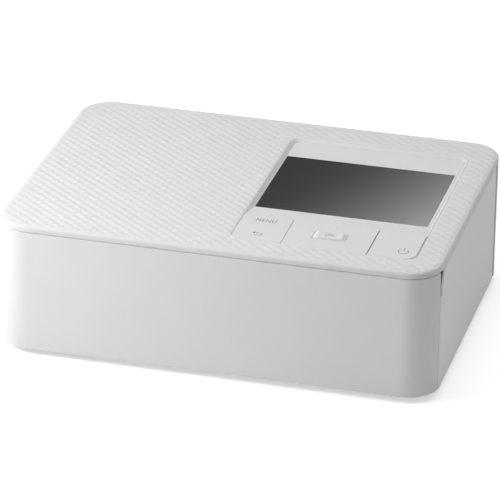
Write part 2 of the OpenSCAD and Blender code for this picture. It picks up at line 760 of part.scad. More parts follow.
module roller_bushes() color([0.85, 0.84, 0.8]) for (a = [capstan_at, platen_at])
    for (side = [[frame_x0 - frame_t, 1], [frame_x1 + frame_t, -1]]) {
        difference() {
            union() {
                translate([side[0], a[0], a[1]]) rotate([0, side[1] * 90, 0])
                    cylinder(r = bush_r, h = frame_t + 0.8);
                translate([side[0] + side[1] * frame_t, a[0], a[1]]) rotate([0, side[1] * 90, 0])
                    cylinder(r = bush_flange_r, h = 0.8);
            }
            rod(a, shaft_r + run_c, side[0] - 4, side[0] + 4);
        }
    }

module platen_roller() color([0.13, 0.13, 0.13]) difference() {
    rod(platen_at, platen_r, roller_x0, roller_x1);
    rod(platen_at, shaft_r + bush_c, roller_x0 - 1, roller_x1 + 1);
}

module platen_shaft() color([0.7, 0.7, 0.72])
    rod(platen_at, shaft_r, frame_x0 - frame_t - 0.6, frame_x1 + frame_t + 1);

module capstan_roller() color([0.68, 0.68, 0.7]) {
    rod(capstan_at, capstan_r, roller_x0, roller_x1);
    rod(capstan_at, shaft_r, layer1_x - gear_t, frame_x1 + frame_t + 1);
}

module pinch_roller() color([0.2, 0.2, 0.2]) {
    for (i = [0 : 3])
        rod(pinch_at, pinch_r, roller_x0 + 4 + pinch_pitch * i,
            roller_x0 - 4 + pinch_pitch * (i + 1));
    rod(pinch_at, 1.2, roller_x0 - 2, roller_x1 - 4);
}

module pinch_holders() color([0.3, 0.3, 0.31]) difference() {
    for (i = [0, 4]) block(roller_x0 + pinch_pitch * i - 3, roller_x0 + pinch_pitch * i + 2,
        -9, 2.2, pinch_at[1] - 1, pinch_at[1] + 2.2);
    rod(pinch_at, 1.2 + run_c, roller_x0 - 10, roller_x1 + 10);
}

module pick_roller() color([0.14, 0.14, 0.14]) difference() {
    rod(pick_at, pick_r, slot_cx - 16, slot_cx + 16);
    rod(pick_at, shaft_r + bush_c, slot_cx - 20, slot_cx + 20);
    for (i = [0, 1]) block(slot_cx - 5.5 + 7 * i, slot_cx - 1.5 + 7 * i, pick_at[0] - 9,
        pick_at[0] + 9, pick_at[1] + 3.4, pick_at[1] + 9);
}

module pick_shaft() color([0.7, 0.7, 0.72])
    rod(pick_at, shaft_r, layer1_x - gear_t, frame_x1 + frame_t + 1);

module paper_guide() color([0.18, 0.18, 0.19]) difference() {
    rib_pitch = (roller_x1 - roller_x0 - 16) / 8;
    union() {
        block(frame_x0, frame_x1, 27, half_d - wall - 1.4, paper_z - 2.4, paper_z - 1.4);
        for (x = [frame_x0, frame_x1 - 1.2])
            block(x, x + 1.2, 27, frame_y1 - 2, paper_z - 6, paper_z - 1.4 + touch);
        for (i = [0 : 8]) block(roller_x0 + 4 + rib_pitch * i, roller_x0 + 5 + rib_pitch * i, 28,
            half_d - 6.5, paper_z - 1.4 - touch, paper_z - 0.8);
    }
    rod(tie_rod_places[1], tie_rod_r + 0.1, frame_x0 - 1, frame_x1 + 1);
}

// Thermal head -----------------------------------------------------------------------------

module head_pivot_rod() color([0.7, 0.7, 0.72])
    rod(head_pivot_at, head_rod_r, frame_x0 - frame_t - 0.8, frame_x1 + frame_t + 0.8);

module head_arm() color([0.72, 0.73, 0.75]) difference() {
    union() {
        block(head_x0, head_x1, head_y0, head_pivot_at[0], arm_z0, arm_z0 + arm_t);
        for (x = [head_x0, (head_x0 + head_x1) / 2 - 3, head_x1 - 6])
            rod(head_pivot_at, head_rod_r + 1, x, x + 6);
    }
    rod(head_pivot_at, head_rod_r + run_c, head_x0 - 1, head_x1 + 1);
    slot_pitch = (head_x1 - head_x0 - 3.7) / 4;
    for (i = [0 : 3]) translate([head_x0 + 6 + slot_pitch * i, 0, 0])
        rounded_plate(0, slot_pitch - 11, head_pivot_at[0] - 24, head_pivot_at[0] - 8, 3,
            arm_z0 - 1, arm_z0 + arm_t + 1);
}

module heat_sink() color([0.8, 0.81, 0.82]) {
    block(head_x0, head_x1, head_y0, head_y1, head_z0 + head_bar_h, head_z0 + head_bar_h + 4);
    fin_pitch = (head_x1 - head_x0 - fin_t) / (fin_count - 1);
    for (i = [0 : fin_count - 1]) block(head_x0 + i * fin_pitch, head_x0 + i * fin_pitch + fin_t,
        head_y0, head_y1, head_z0 + head_bar_h + 4 - touch, arm_z0);
}

module thermal_head() color([0.86, 0.84, 0.78]) {
    block(head_x0, head_x1, head_y0, head_y1, head_z0 + 0.8, head_z0 + head_bar_h);
    translate([head_x0, (head_y0 + head_y1) / 2, head_z0 + 0.8]) rotate([90, 0, 90])
        intersection() {
            translate([0, 1.7, 0]) cylinder(r = 2.5, h = head_x1 - head_x0);
            translate([-3, -0.8, 0]) cube([6, 0.9, head_x1 - head_x0]);
        }
}

// Ink cassette -------------------------------------------------------------------------------

module ink_outline(r) {
    translate([supply_at[0], spool_z]) circle(r);
    translate([take_up_at[0], spool_z]) circle(r);
}

module ink_cassette_case() color([0.25, 0.25, 0.27]) difference() {
    union() {
        across_x(ink_x0, ink_x1) ink_outline(lobe_r);
        across_x(ink_x0, ink_open_x0) translate([supply_at[0] + spool_pitch / 2, spool_z])
            rounded_rect(spool_pitch, 2 * lobe_r - 6, 1);
        across_x(ink_open_x1, ink_x1) translate([supply_at[0] + spool_pitch / 2, spool_z])
            rounded_rect(spool_pitch, 2 * lobe_r - 2, 1);
    }
    across_x(ink_x0 + ink_wall, ink_x1 - 14) ink_outline(lobe_r - ink_wall);
    for (a = [supply_at, take_up_at]) rod(a, 3.2, ink_x0 - 1, ink_x0 + 3);
    across_x(ink_open_x0, ink_open_x1) {
        translate([supply_at[0] + 6, spool_z - lobe_r - 1]) square([lobe_r, 3.4]);
        translate([take_up_at[0] - 6 - lobe_r, spool_z - lobe_r - 1]) square([lobe_r, 3.4]);
    }
    for (i = [0 : 4]) across_x(ink_x1 - 1, ink_x1 + 1)
        translate([supply_at[0] + spool_pitch / 2, spool_z - 6 + 3 * i])
            rounded_rect(20, 1.2, 0.5);
}

module spool(at) {
    difference() {
        union() {
            rod(at, film_r, ink_open_x0 + 1, ink_open_x1 - 1);
            rod(at, 3, ink_x0 - 0.4, ink_open_x1 + 8);
        }
        rod(at, 1.6, ink_x0 - 1, ink_x0 + 8);
    }
}

module ink_supply_spool() color([0.15, 0.3, 0.5]) spool(supply_at);

module ink_take_up_spool() color([0.5, 0.25, 0.35]) spool(take_up_at);

// Gear train ---------------------------------------------------------------------------------

// Polar angle of the involute from base radius rb at radius r, in degrees
function involute(rb, r) = sqrt(pow(r / rb, 2) - 1) * 180 / PI - acos(rb / r);
function polar(r, a) = [r * cos(a), r * sin(a)];

// Outline of one gear: each tooth has two involute flanks of four points
module gear_outline(teeth) {
    rp = pitch_r(teeth);
    rb = rp * cos(pressure_angle);
    tip = rp + tooth_add * gear_m;
    root = rp - tooth_ded * gear_m;
    start = max(rb + 0.01, root + 0.05);
    half_tooth = 90 / teeth - backlash / rp * 90 / PI;
    base_half = half_tooth + involute(rb, rp);
    radii = [for (i = [0 : 3]) start + (tip - start) * i / 3];
    polygon([for (k = [0 : teeth - 1]) let (mid = 360 * k / teeth) each concat(
        [polar(root, mid - base_half)],
        [for (r = radii) polar(r, mid - base_half + involute(rb, r))],
        [for (i = [3 : -1 : 0]) polar(radii[i], mid + base_half - involute(rb, radii[i]))],
        [polar(root, mid + base_half)])]);
}

module gear(at, teeth, turn, x0, t) {
    translate([x0, at[0], at[1]]) rotate([90, 0, 90]) linear_extrude(t)
        rotate(turn) gear_outline(teeth);
}

module capstan_gear() color([0.93, 0.92, 0.86]) difference() {
    gear(capstan_at, capstan_teeth, capstan_turn, layer1_x - gear_t, gear_t);
    rod(capstan_at, shaft_r + bush_c, layer1_x - gear_t - 1, layer1_x + 1);
}

module compound_gear() color([0.93, 0.92, 0.86]) difference() {
    union() {
        gear(compound_at, compound_big, compound_turn, layer2_x - gear_t, gear_t);
        gear(compound_at, compound_small, compound_turn, layer2_x - touch,
            gear_t + layer_gap + touch);
    }
    rod(compound_at, gear_post_r + run_c, layer2_x - gear_t - 1, layer1_x + 1);
    for (i = [0 : 5]) rod(away(compound_at, 8.6, 60 * i), 2.2, layer2_x - gear_t - 1,
        layer2_x + 0.2);
}

module pick_gear() color([0.93, 0.92, 0.86]) difference() {
    gear(pick_at, pick_teeth, pick_turn, layer1_x - gear_t, gear_t);
    rod(pick_at, shaft_r + bush_c, layer1_x - gear_t - 1, layer1_x + 1);
    for (i = [0 : 4]) rod(away(pick_at, 5.6, 72 * i), 1.6, layer1_x - gear_t - 1, layer1_x + 1);
}

module idler_gear() color([0.93, 0.92, 0.86]) difference() {
    gear(idler_at, idler_teeth, idler_turn, layer1_x - gear_t, gear_t);
    rod(idler_at, gear_post_r + run_c, layer1_x - gear_t - 1, layer1_x + 1);
    for (i = [0 : 5]) rod(away(idler_at, 7.6, 60 * i + 30), 2.4, layer1_x - gear_t - 1,
        layer1_x + 1);
}

module take_up_gear() color([0.93, 0.92, 0.86]) {
    gear(take_up_at, take_up_teeth, take_up_turn, layer1_x - gear_t, gear_t);
    rod(take_up_at, 2.9, layer1_x - touch, frame_x0);
    rod(take_up_at, 1.5, frame_x0 - touch, ink_x0 + 6);
}

module motor_pinion() color([0.8, 0.7, 0.4]) {
    gear(pinion_at, pinion_teeth, pinion_turn, layer2_x - gear_t, gear_t);
    rod(pinion_at, 1, layer2_x - gear_t, frame_x0 + 1);
}

module feed_motor() color([0.7, 0.71, 0.73]) difference() {
    union() {
        rod(pinion_at, motor_r, frame_x0, frame_x0 + motor_l);
        rod(pinion_at, 3, frame_x0 - frame_t, frame_x0 + touch);
        rod(pinion_at, 2.4, frame_x0 + motor_l - touch, frame_x0 + motor_l + 1.5);
        for (s = [-1, 1]) block(frame_x0 + motor_l - touch, frame_x0 + motor_l + 3,
            pinion_at[0] + s * 4.6 - 0.3, pinion_at[0] + s * 4.6 + 0.3, pinion_at[1] - 1.2,
            pinion_at[1] + 1.2);
    }
    for (s = [-1, 1]) block(frame_x0 + 5, frame_x0 + 13, pinion_at[0] - 2.5, pinion_at[0] + 2.5,
        pinion_at[1] + s * 7 - 0.8, pinion_at[1] + s * 7 + 0.8);
    rod(pinion_at, 1 + run_c, frame_x0 - 3, frame_x0 + 2);
}

module gear_posts() color([0.7, 0.7, 0.72]) {
    for (p = [[compound_at, layer2_x - gear_t], [idler_at, layer1_x - gear_t]]) {
        rod(p[0], gear_post_r, p[1] - 1.2, frame_x0 - frame_t);
        rod(p[0], 0.98, frame_x0 - frame_t - touch, frame_x0);
        rod(p[0], 2.6, p[1] - 1.2, p[1] - 0.3);
        rod(p[0], 2.4, layer1_x + 0.3, frame_x0 - frame_t);
    }
}

// Control panel --------------------------------------------------------------------------------

// Section of the panel: level round the display, then rising to the key plates
module panel_section() {
    polygon([[keys_y1 + key_gap, flange_z], [panel_y1 + flange_w, flange_z],
        [panel_y1 + flange_w, recess_z], [window_y0 - 0.6, recess_z],
        [keys_y1 + key_gap + 0.6, key_z], [keys_y1 + key_gap, key_z]]);
}

module panel_bezel() color([0.86, 0.86, 0.86]) difference() {
    union() {
        intersection() {
            union() {
                translate([0, 0, recess_z]) panel_funnel(0.08, recess);
                rounded_plate(panel_x0 + slope_w + 0.08, panel_x1 - slope_w - 0.08,
                    keys_y1 - 6, panel_y1 - slope_w - 0.08, panel_r - slope_w, flange_z,
                    recess_z);
            }
            across_x(panel_x0, panel_x1) panel_section();
        }
        rounded_plate(panel_x0 - flange_w, panel_x1 + flange_w, panel_y0 - flange_w,
            panel_y1 + flange_w, panel_r, flange_z, seam_z);
        key_bearings();
    }
    rounded_plate(panel_x0 + 0.1, panel_x1 - 0.1, key_y0, keys_y1, 1, flange_z - 1, seam_z + 3);
    translate([0, 0, recess_z - window_t]) block(window_x0 - window_c,
        window_x0 + window_w + window_c, window_y0 - window_c, window_y1 + window_c, 0, 5);
    block(window_x0 + window_lip, window_x0 + window_w - window_lip, window_y0 + window_lip,
        window_y1 - window_lip, flange_z - 1, body_h);
    at_posts() cylinder(r = post_r + 0.1, h = body_h);
}

bearing_t = 2.4;
bearing_x = [panel_x0 + 1.3, gap_x1, gap_x2, panel_x1 - 1.3];
pin_gap = 0.2;

// Bearings of the key plates: cross ribs under the gaps, bored on the rocking axis
module key_bearings() {
    difference() {
        for (x = bearing_x) {
            block(x - bearing_t / 2, x + bearing_t / 2, key_mid_y - 2, key_mid_y + 2,
                rock_z - 1.6, rock_z + 0.8);
            block(x - bearing_t / 2, x + bearing_t / 2, panel_y0 - 1, keys_y1 + 1,
                rock_z - 2, rock_z - 1);
        }
        rod([key_mid_y, rock_z], rock_r + run_c, panel_x0 - 1, panel_x1 + 1);
    }
}

module display_window() color([0.22, 0.22, 0.24, 0.9])
    block(window_x0, window_x0 + window_w, window_y0, window_y1, recess_z - window_t + touch,
        recess_z - 0.02);

module display_module() color([0.5, 0.5, 0.52]) {
    block(window_x0 + 1, window_x0 + window_w - 1, window_y0 + 1, window_y1 - 1, display_z0,
        flange_z - 0.05);
    block(window_x0 + window_lip + 0.3, window_x0 + window_w - window_lip - 0.3,
        window_y0 + window_lip + 0.3, window_y1 - window_lip - 0.3, display_z0,
        recess_z - window_t - 0.1);
}

// One key plate between two gap positions, seen from above
module key_outline(x0, x1, left_r, right_r) {
    difference() {
        translate([x0, key_y0]) square([x1 - x0, keys_y1 - key_y0]);
        for (c = [[x0, left_r, 1], [x1, right_r, -1]]) if (c[1] > 0) difference() {
            translate([c[0] - c[1], key_y0 - c[1]]) square(2 * c[1]);
            translate([c[0] + c[2] * c[1], key_y0 + c[1]]) circle(c[1]);
        }
    }
}

module key_plate(x0, x1, left_r, right_r, b0, b1, post_ys) {
    px0 = b0 + bearing_t / 2 + 0.3;
    px1 = b1 - bearing_t / 2 - 0.3;
    translate([0, 0, key_z - key_t]) linear_extrude(key_t)
        key_outline(x0, x1, left_r, right_r);
    for (side = [[px0, 1], [px1, -1]]) {
        xa = min(side[0], side[0] + side[1] * 1.2);
        block(xa, xa + 1.2, key_mid_y - 1.4, key_mid_y + 1.4, rock_z - rock_r, key_z - key_t
            + touch);
    }
    rod([key_mid_y, rock_z], rock_r, b0 + pin_gap, px0 + touch);
    rod([key_mid_y, rock_z], rock_r, px1 - touch, b1 - pin_gap);
    for (y = post_ys) translate([(x0 + x1) / 2, y, key_board_z + key_board_t + switch_h
        + switch_gap]) cylinder(r = 1.2, h = key_z - key_t - key_board_z - key_board_t - switch_h
        - switch_gap + touch);
}

corner_key_r = panel_r - key_gap;
menu_posts = [key_mid_y - 6.5, key_mid_y + 6.5];
menu_x = [panel_x0 + key_gap, gap_x1 - key_gap / 2];
power_x = [gap_x2 + key_gap / 2, panel_x1 - key_gap];
nav_x = [gap_x1 + key_gap / 2, gap_x2 - key_gap / 2];

module menu_key_plate() color([0.88, 0.88, 0.88])
    key_plate(menu_x[0], menu_x[1], corner_key_r, 0, bearing_x[0], bearing_x[1], menu_posts);

module power_key_plate() color([0.88, 0.88, 0.88])
    key_plate(power_x[0], power_x[1], 0, corner_key_r, bearing_x[2], bearing_x[3], menu_posts);

nav_mid_x = (nav_x[0] + nav_x[1]) / 2;
carrier_half = 15.5;
carrier_d = 5.4;
carrier_z0 = rock_z - 1.1;

// Ring of the gimbal: rocks on the plate bearings and carries the navigation plate
module navigation_carrier() color([0.3, 0.3, 0.31]) difference() {
    union() {
        difference() {
            block(nav_mid_x - carrier_half, nav_mid_x + carrier_half, key_mid_y - carrier_d,
                key_mid_y + carrier_d, carrier_z0, key_z - key_t - 0.75);
            block(nav_mid_x - carrier_half + 2, nav_mid_x + carrier_half - 2,
                key_mid_y - carrier_d + 1.6, key_mid_y + carrier_d - 1.6, 0, body_h);
        }
        rod([key_mid_y, rock_z], rock_r, bearing_x[1] + pin_gap, nav_mid_x - carrier_half + 1);
        rod([key_mid_y, rock_z], rock_r, nav_mid_x + carrier_half - 1, bearing_x[2] - pin_gap);
    }
    translate([nav_mid_x, key_mid_y, rock_z]) rotate([90, 0, 0])
        cylinder(r = rock_r + run_c, h = 20, center = true);
}

module navigation_plate() color([0.88, 0.88, 0.88]) difference() {
    union() {
        translate([0, 0, key_z - key_t]) linear_extrude(key_t)
            key_outline(nav_x[0], nav_x[1], 0, 0);
        for (s = [-1, 1]) {
            block(nav_mid_x - 2, nav_mid_x + 2, key_mid_y + s * (carrier_d + 1) - 0.6,
                key_mid_y + s * (carrier_d + 1) + 0.6, rock_z - rock_r, key_z - key_t + touch);
            translate([nav_mid_x, key_mid_y + s * (carrier_d - 0.3), rock_z]) rotate([90, 0, 0])
                cylinder(r = rock_r, h = 2.4, center = true);
        }
        for (p = [[-12, 8], [12, 8], [-12, -8], [12, -8]])
            translate([nav_mid_x + p[0], key_mid_y + p[1], key_board_z + key_board_t + switch_h
                + switch_gap]) cylinder(r = 1, h = key_z - key_t - key_board_z - key_board_t
                - switch_h - switch_gap + touch);
    }
    rounded_plate(ok_x - ok_w / 2 - ok_gap / 2, ok_x + ok_w / 2 + ok_gap / 2,
        ok_y - ok_d / 2 - ok_gap / 2, ok_y + ok_d / 2 + ok_gap / 2, 0.8, 0, body_h + 2);
}

module ok_button() color([0.9, 0.9, 0.9]) {
    c = ok_gap / 2;
    rounded_plate(ok_x - ok_w / 2 + c, ok_x + ok_w / 2 - c, ok_y - ok_d / 2 + c,
        ok_y + ok_d / 2 - c, 0.6, key_z - key_t, key_z + ok_rise);
    translate([ok_x, ok_y, key_board_z + key_board_t + switch_h + switch_gap])
        cylinder(r = 1.4, h = key_z - key_t - key_board_z - key_board_t - switch_h - switch_gap
            + touch);
}

module tact_switch(x, y) {
    block(x - 2.2, x + 2.2, y - 2.2, y + 2.2, key_board_z + key_board_t - touch,
        key_board_z + key_board_t + switch_h - 0.8);
    translate([x, y, key_board_z + key_board_t]) cylinder(r = 1.2, h = switch_h);
}

module key_board() color([0.12, 0.35, 0.2]) {
    difference() {
        block(panel_x0 + 1, panel_x1 - 1, panel_y0 + 1, window_y0 - 3, key_board_z,
            key_board_z + key_board_t);
        at_posts() cylinder(r = post_r + 0.3, h = body_h);
    }
    for (x = [(menu_x[0] + menu_x[1]) / 2, (power_x[0] + power_x[1]) / 2], y = menu_posts)
        tact_switch(x, y);
    for (p = [[-12, 8], [12, 8], [-12, -8], [12, -8]])
        tact_switch(nav_mid_x + p[0], key_mid_y + p[1]);
    tact_switch(ok_x, ok_y);
    for (x = [panel_x0 + 3, panel_x1 - 3]) block(x - 1, x + 1, keys_y1 + 1.9, keys_y1 + 5.9,
        key_board_z + key_board_t - touch, flange_z);
}

// Electronics ------------------------------------------------------------------------------------

module main_board() color([0.1, 0.32, 0.2]) {
    difference() {
        block(board_x0, board_x1, board_y0, board_y1, main_board_z, main_board_z + board_t);
        for (p = board_holes) translate(p) cylinder(r = 1.1, h = body_h);
        at_posts() cylinder(r = post_r + 0.3, h = body_h);
    }
    block(-30, -14, -30, -14, main_board_z + board_t - touch, main_board_z + board_t + 0.6);
    block(-52, -42, -20, -8, main_board_z + board_t - touch, main_board_z + board_t + 0.6);
    for (i = [0 : 3]) translate([board_x0 + 4, -34 + 9 * i, main_board_z - 5])
        cylinder(r = 2.5, h = 5.1);
    for (i = [0 : 6], j = [0 : 2]) translate([board_x1 - 40 + 4 * i, -10 + 14 * j, 0])
        block(0, 1.6, 0, 3.2, main_board_z - 0.6, main_board_z + touch);
    block(-24, -8, -40, -34, main_board_z - 2.4, main_board_z + touch);
}

module connector_board() color([0.1, 0.32, 0.2]) difference() {
    block(-half_w + wall + 0.6, frame_x0 - frame_t, connector_y0, connector_y1, connector_z,
        connector_z + board_t);
    block(layer1_x - gear_t - 0.8, half_w, pick_at[0] - pitch_r(pick_teeth) - 1.6, half_d,
        connector_z - 1, connector_z + board_t + 1);
}

module memory_card_socket() color([0.72, 0.73, 0.75]) {
    z0 = connector_z + board_t;
    difference() {
        block(-half_w + wall, -half_w + wall + 16, card_y - 12.6, card_y + 12.6, z0, z0 + 3.6);
        block(-half_w - 1, -half_w + wall + 15, card_y - 12, card_y + 12, z0 + 0.8, z0 + 3);
    }
}

module usb_socket() color([0.75, 0.76, 0.78]) {
    z1 = connector_z;
    difference() {
        block(-half_w + wall, -half_w + wall + 14, card_y - 6.6, card_y + 6.6, z1 - 6.4, z1);
        block(-half_w - 1, -half_w + wall + 12, card_y - 6.1, card_y + 6.1, z1 - 5.9, z1 - 0.6);
    }
    block(-half_w + wall + 0.4, -half_w + wall + 12.1, card_y - 5.4, card_y + 5.4, z1 - 2.6,
        z1 - 0.7);
}

module power_board() color([0.1, 0.32, 0.2])
    block(usb_c_x - 8, dc_x + 6, frame_y1 + 0.4, half_d - wall - liner_t - 0.2, power_z,
        power_z + board_t);

module dc_socket() color([0.1, 0.1, 0.1]) {
    z0 = power_z + board_t;
    y1 = half_d - wall - liner_t;
    difference() {
        block(dc_x - 4.6, dc_x + 4.6, y1 - 8.4, y1, z0, z0 + 9.2);
        translate([dc_x, y1 + 1, z0 + 4.6]) rotate([90, 0, 0]) cylinder(r = dc_r, h = 8);
    }
    translate([dc_x, y1 - 0.6, z0 + 4.6]) rotate([90, 0, 0]) cylinder(r = 0.8, h = 7);
}

module usb_c_socket() color([0.75, 0.76, 0.78]) {
    z0 = power_z + board_t;
    y1 = half_d - wall + 0.4;
    across_y(y1 - 8, y1) translate([usb_c_x, z0 + 1.7]) difference() {
        rounded_rect(9, 3.4, 1.6);
        rounded_rect(8.4, 2.7, 1.3);
    }
    block(usb_c_x - 4.2, usb_c_x + 4.2, y1 - 8, y1 - 6.5, z0 + 0.4, z0 + 3);
    block(usb_c_x - 3.4, usb_c_x + 3.4, y1 - 7, y1 - 1, z0 + 1.35, z0 + 2.05);
}

module cooling_fan_housing() color([0.15, 0.15, 0.15]) {
    translate([fan_x, fan_y1, fan_z]) rotate([90, 0, 0]) difference() {
        linear_extrude(fan_t) difference() {
            rounded_rect(fan_w, fan_w, 2);
            circle(fan_w / 2 - 1.2);
            for (sx = [-1, 1], sy = [-1, 1]) translate([sx, sy] * (fan_w / 2 - 2.5)) circle(1.3);
        }
    }
    translate([fan_x, fan_y1, fan_z]) rotate([90, 0, 0]) {
        translate([0, 0, fan_t - 1.2]) cylinder(r = 5, h = 1.2);
        for (a = [0, 120, 240]) rotate(a) translate([4, -0.8, fan_t - 1.2])
            cube([fan_w / 2 - 4.6, 1.6, 1.2]);
        translate([0, 0, 3]) cylinder(r = 1, h = fan_t - 4);
    }
}

module cooling_fan_rotor() color([0.22, 0.22, 0.22])
    translate([fan_x, fan_y1, fan_z]) rotate([90, 0, 0]) difference() {
        union() {
            translate([0, 0, 0.8]) cylinder(r = 4.8, h = fan_t - 2.4);
            for (i = [0 : 6]) rotate(i * 360 / 7) translate([4.4, 0, 1.3])
                rotate([38, 0, 0]) cube([fan_w / 2 - 6.2, 0.8, 5.4]);
        }
        translate([0, 0, 2.8]) cylinder(r = 1 + run_c, h = fan_t);
    }

module cassette_release_lever() color([0.85, 0.6, 0.25]) {
    block(side_fascia_x - 5, side_fascia_x - 0.3, -32, -14.5, spool_z - 5, spool_z + 5);
    block(side_fascia_x - 1, side_fascia_x + 1.5, -31, -25, spool_z - 3, spool_z + 3);
}

base_pan();
rubber_feet();
base_screws();
rear_shell();
top_cover();
case_screws();
front_cover();
front_hinge_pin();
ink_cover();
ink_hinge_pin();
front_fascia();
side_fascia();
cassette_bay_floor();
left_frame();
right_frame();
tie_rods();
roller_bushes();
platen_roller();
platen_shaft();
capstan_roller();
capstan_gear();
pinch_roller();
pinch_holders();
pick_roller();
pick_shaft();
paper_guide();
head_pivot_rod();
head_arm();
heat_sink();
thermal_head();
ink_cassette_case();
ink_supply_spool();
ink_take_up_spool();
take_up_gear();
idler_gear();
compound_gear();
pick_gear();
motor_pinion();
feed_motor();
gear_posts();
frame_screws();
panel_bezel();
display_window();
display_module();
menu_key_plate();
power_key_plate();
navigation_carrier();
navigation_plate();
ok_button();
key_board();
main_board();
connector_board();
memory_card_socket();
usb_socket();
power_board();
dc_socket();
usb_c_socket();
cooling_fan_housing();
cooling_fan_rotor();
cassette_release_lever();
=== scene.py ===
"""Looks of the compact photo printer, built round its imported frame. Lengths are in metres."""
import json
import math

import bmesh
import bpy
import numpy as np
from mathutils import Matrix, Vector


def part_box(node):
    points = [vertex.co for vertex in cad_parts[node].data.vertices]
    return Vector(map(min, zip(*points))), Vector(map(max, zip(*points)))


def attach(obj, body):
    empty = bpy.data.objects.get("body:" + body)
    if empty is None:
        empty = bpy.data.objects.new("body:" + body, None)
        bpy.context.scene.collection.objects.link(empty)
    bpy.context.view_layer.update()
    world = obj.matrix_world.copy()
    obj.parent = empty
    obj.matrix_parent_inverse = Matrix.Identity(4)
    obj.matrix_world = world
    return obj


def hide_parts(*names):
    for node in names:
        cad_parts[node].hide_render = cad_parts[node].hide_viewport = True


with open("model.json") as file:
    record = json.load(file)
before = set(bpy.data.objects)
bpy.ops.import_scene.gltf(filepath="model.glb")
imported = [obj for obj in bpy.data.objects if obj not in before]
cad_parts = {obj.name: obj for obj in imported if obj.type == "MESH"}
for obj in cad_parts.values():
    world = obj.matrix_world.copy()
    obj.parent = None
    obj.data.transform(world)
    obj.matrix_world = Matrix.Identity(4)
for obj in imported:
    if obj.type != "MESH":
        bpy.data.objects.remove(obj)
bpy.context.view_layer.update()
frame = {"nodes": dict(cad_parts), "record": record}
nodes = frame["nodes"]
MM = 0.001

# Driving places, read from the frame ------------------------------------------------------

deck_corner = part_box("top_cover")[1]
deck_z = deck_corner.z
half_w = deck_corner.x
half_d = deck_corner.y
corner_r = 13.5 * MM
edge_r = 1.2 * MM
panel_lo = Vector((3.8 * MM, -54.3 * MM))
panel_hi = Vector((79.6 * MM, 50 * MM))
panel_r = 5 * MM


# Camera -----------------------------------------------------------------------------------

CAMERA_AZIMUTH = math.radians(14.69)
CAMERA_ELEVATION = math.radians(25.23)
CAMERA_ROLL = math.radians(0.65)
CAMERA_DISTANCE = 1566.3 * MM
CAMERA_AIM = (-1.26 * MM, 24.57 * MM)
CAMERA_LENS = 270.53
CAMERA_SENSOR = 36
CAMERA_REACH = 20


def make_camera():
    """Stands at the photograph's place: azimuth, elevation and roll about the origin."""
    sa, ca = math.sin(CAMERA_AZIMUTH), math.cos(CAMERA_AZIMUTH)
    se, ce = math.sin(CAMERA_ELEVATION), math.cos(CAMERA_ELEVATION)
    sr, cr = math.sin(CAMERA_ROLL), math.cos(CAMERA_ROLL)
    back = Vector((sa * ce, -ca * ce, se))
    level_right = Vector((ca, sa, 0))
    level_up = back.cross(level_right)
    right = cr * level_right + sr * level_up
    up = cr * level_up - sr * level_right
    data = bpy.data.cameras.new("photo_camera")
    data.lens = CAMERA_LENS
    data.sensor_width = CAMERA_SENSOR
    data.clip_end = CAMERA_REACH
    camera = bpy.data.objects.new("photo_camera", data)
    bpy.context.scene.collection.objects.link(camera)
    place = right * CAMERA_AIM[0] + up * CAMERA_AIM[1] + back * CAMERA_DISTANCE
    turn = Matrix((right, up, back)).transposed().to_4x4()
    camera.matrix_world = Matrix.Translation(place) @ turn
    bpy.context.scene.camera = camera


# Studio -----------------------------------------------------------------------------------

LEFT_PLACE, LEFT_AIM = (-0.30, -0.22, 0.25), (-0.08, -0.05, 0.03)
LEFT_SIZE, LEFT_WATTS = 0.15, 1.006
TOP_PLACE, TOP_AIM = (0, 0.1, 1.7), (0, 0, 0.03)
TOP_SIZE, TOP_WATTS = 1.6, 12.68
WHITE = (1, 1, 1, 1)
BACKGROUND_LEVEL = 1.0
FILL_LEVEL = 0.23


def turned_along(place, direction, axis):
    """Matrix that stands at a place with one of its own axes along a direction."""
    turn = direction.to_track_quat(axis, "Y").to_matrix().to_4x4()
    return Matrix.Translation(place) @ turn


def area_lamp(name, place, aim, size, watts):
    """A square soft lamp that shines from its place towards a point."""
    data = bpy.data.lights.new(name, "AREA")
    data.shape = "RECTANGLE"
    data.size = data.size_y = size
    data.energy = watts
    lamp = bpy.data.objects.new(name, data)
    bpy.context.scene.collection.objects.link(lamp)
    lamp.matrix_world = turned_along(place, Vector(aim) - Vector(place), "-Z")


def background_rays(nt):
    """1 for the rays that show the background, straight or through metal and glass, else 0."""
    path = nt.nodes.new("ShaderNodeLightPath")
    seen = path.outputs["Is Camera Ray"]
    for kind in ("Is Glossy Ray", "Is Transmission Ray"):
        either = nt.nodes.new("ShaderNodeMath")
        either.operation = "MAXIMUM"
        nt.links.new(seen, either.inputs[0])
        nt.links.new(path.outputs[kind], either.inputs[1])
        seen = either.outputs[0]
    return seen


def make_studio():
    """A small lamp near the left, a wide one overhead, and a world that is brighter where seen."""
    scene = bpy.context.scene
    scene.view_settings.view_transform = "Standard"
    area_lamp("left_softbox", LEFT_PLACE, LEFT_AIM, LEFT_SIZE, LEFT_WATTS)
    area_lamp("top_softbox", TOP_PLACE, TOP_AIM, TOP_SIZE, TOP_WATTS)

    world = bpy.data.worlds.new("studio")
    scene.world = world
    world.use_nodes = True
    nt = world.node_tree
    nt.nodes.clear()
    out = nt.nodes.new("ShaderNodeOutputWorld")
    seen = nt.nodes.new("ShaderNodeBackground")
    seen.inputs["Color"].default_value = WHITE
    seen.inputs["Strength"].default_value = BACKGROUND_LEVEL
    fill = nt.nodes.new("ShaderNodeBackground")
    fill.inputs["Color"].default_value = WHITE
    fill.inputs["Strength"].default_value = FILL_LEVEL
    mix = nt.nodes.new("ShaderNodeMixShader")
    nt.links.new(background_rays(nt), mix.inputs["Fac"])
    nt.links.new(fill.outputs[0], mix.inputs[1])
    nt.links.new(seen.outputs[0], mix.inputs[2])
    nt.links.new(mix.outputs[0], out.inputs["Surface"])


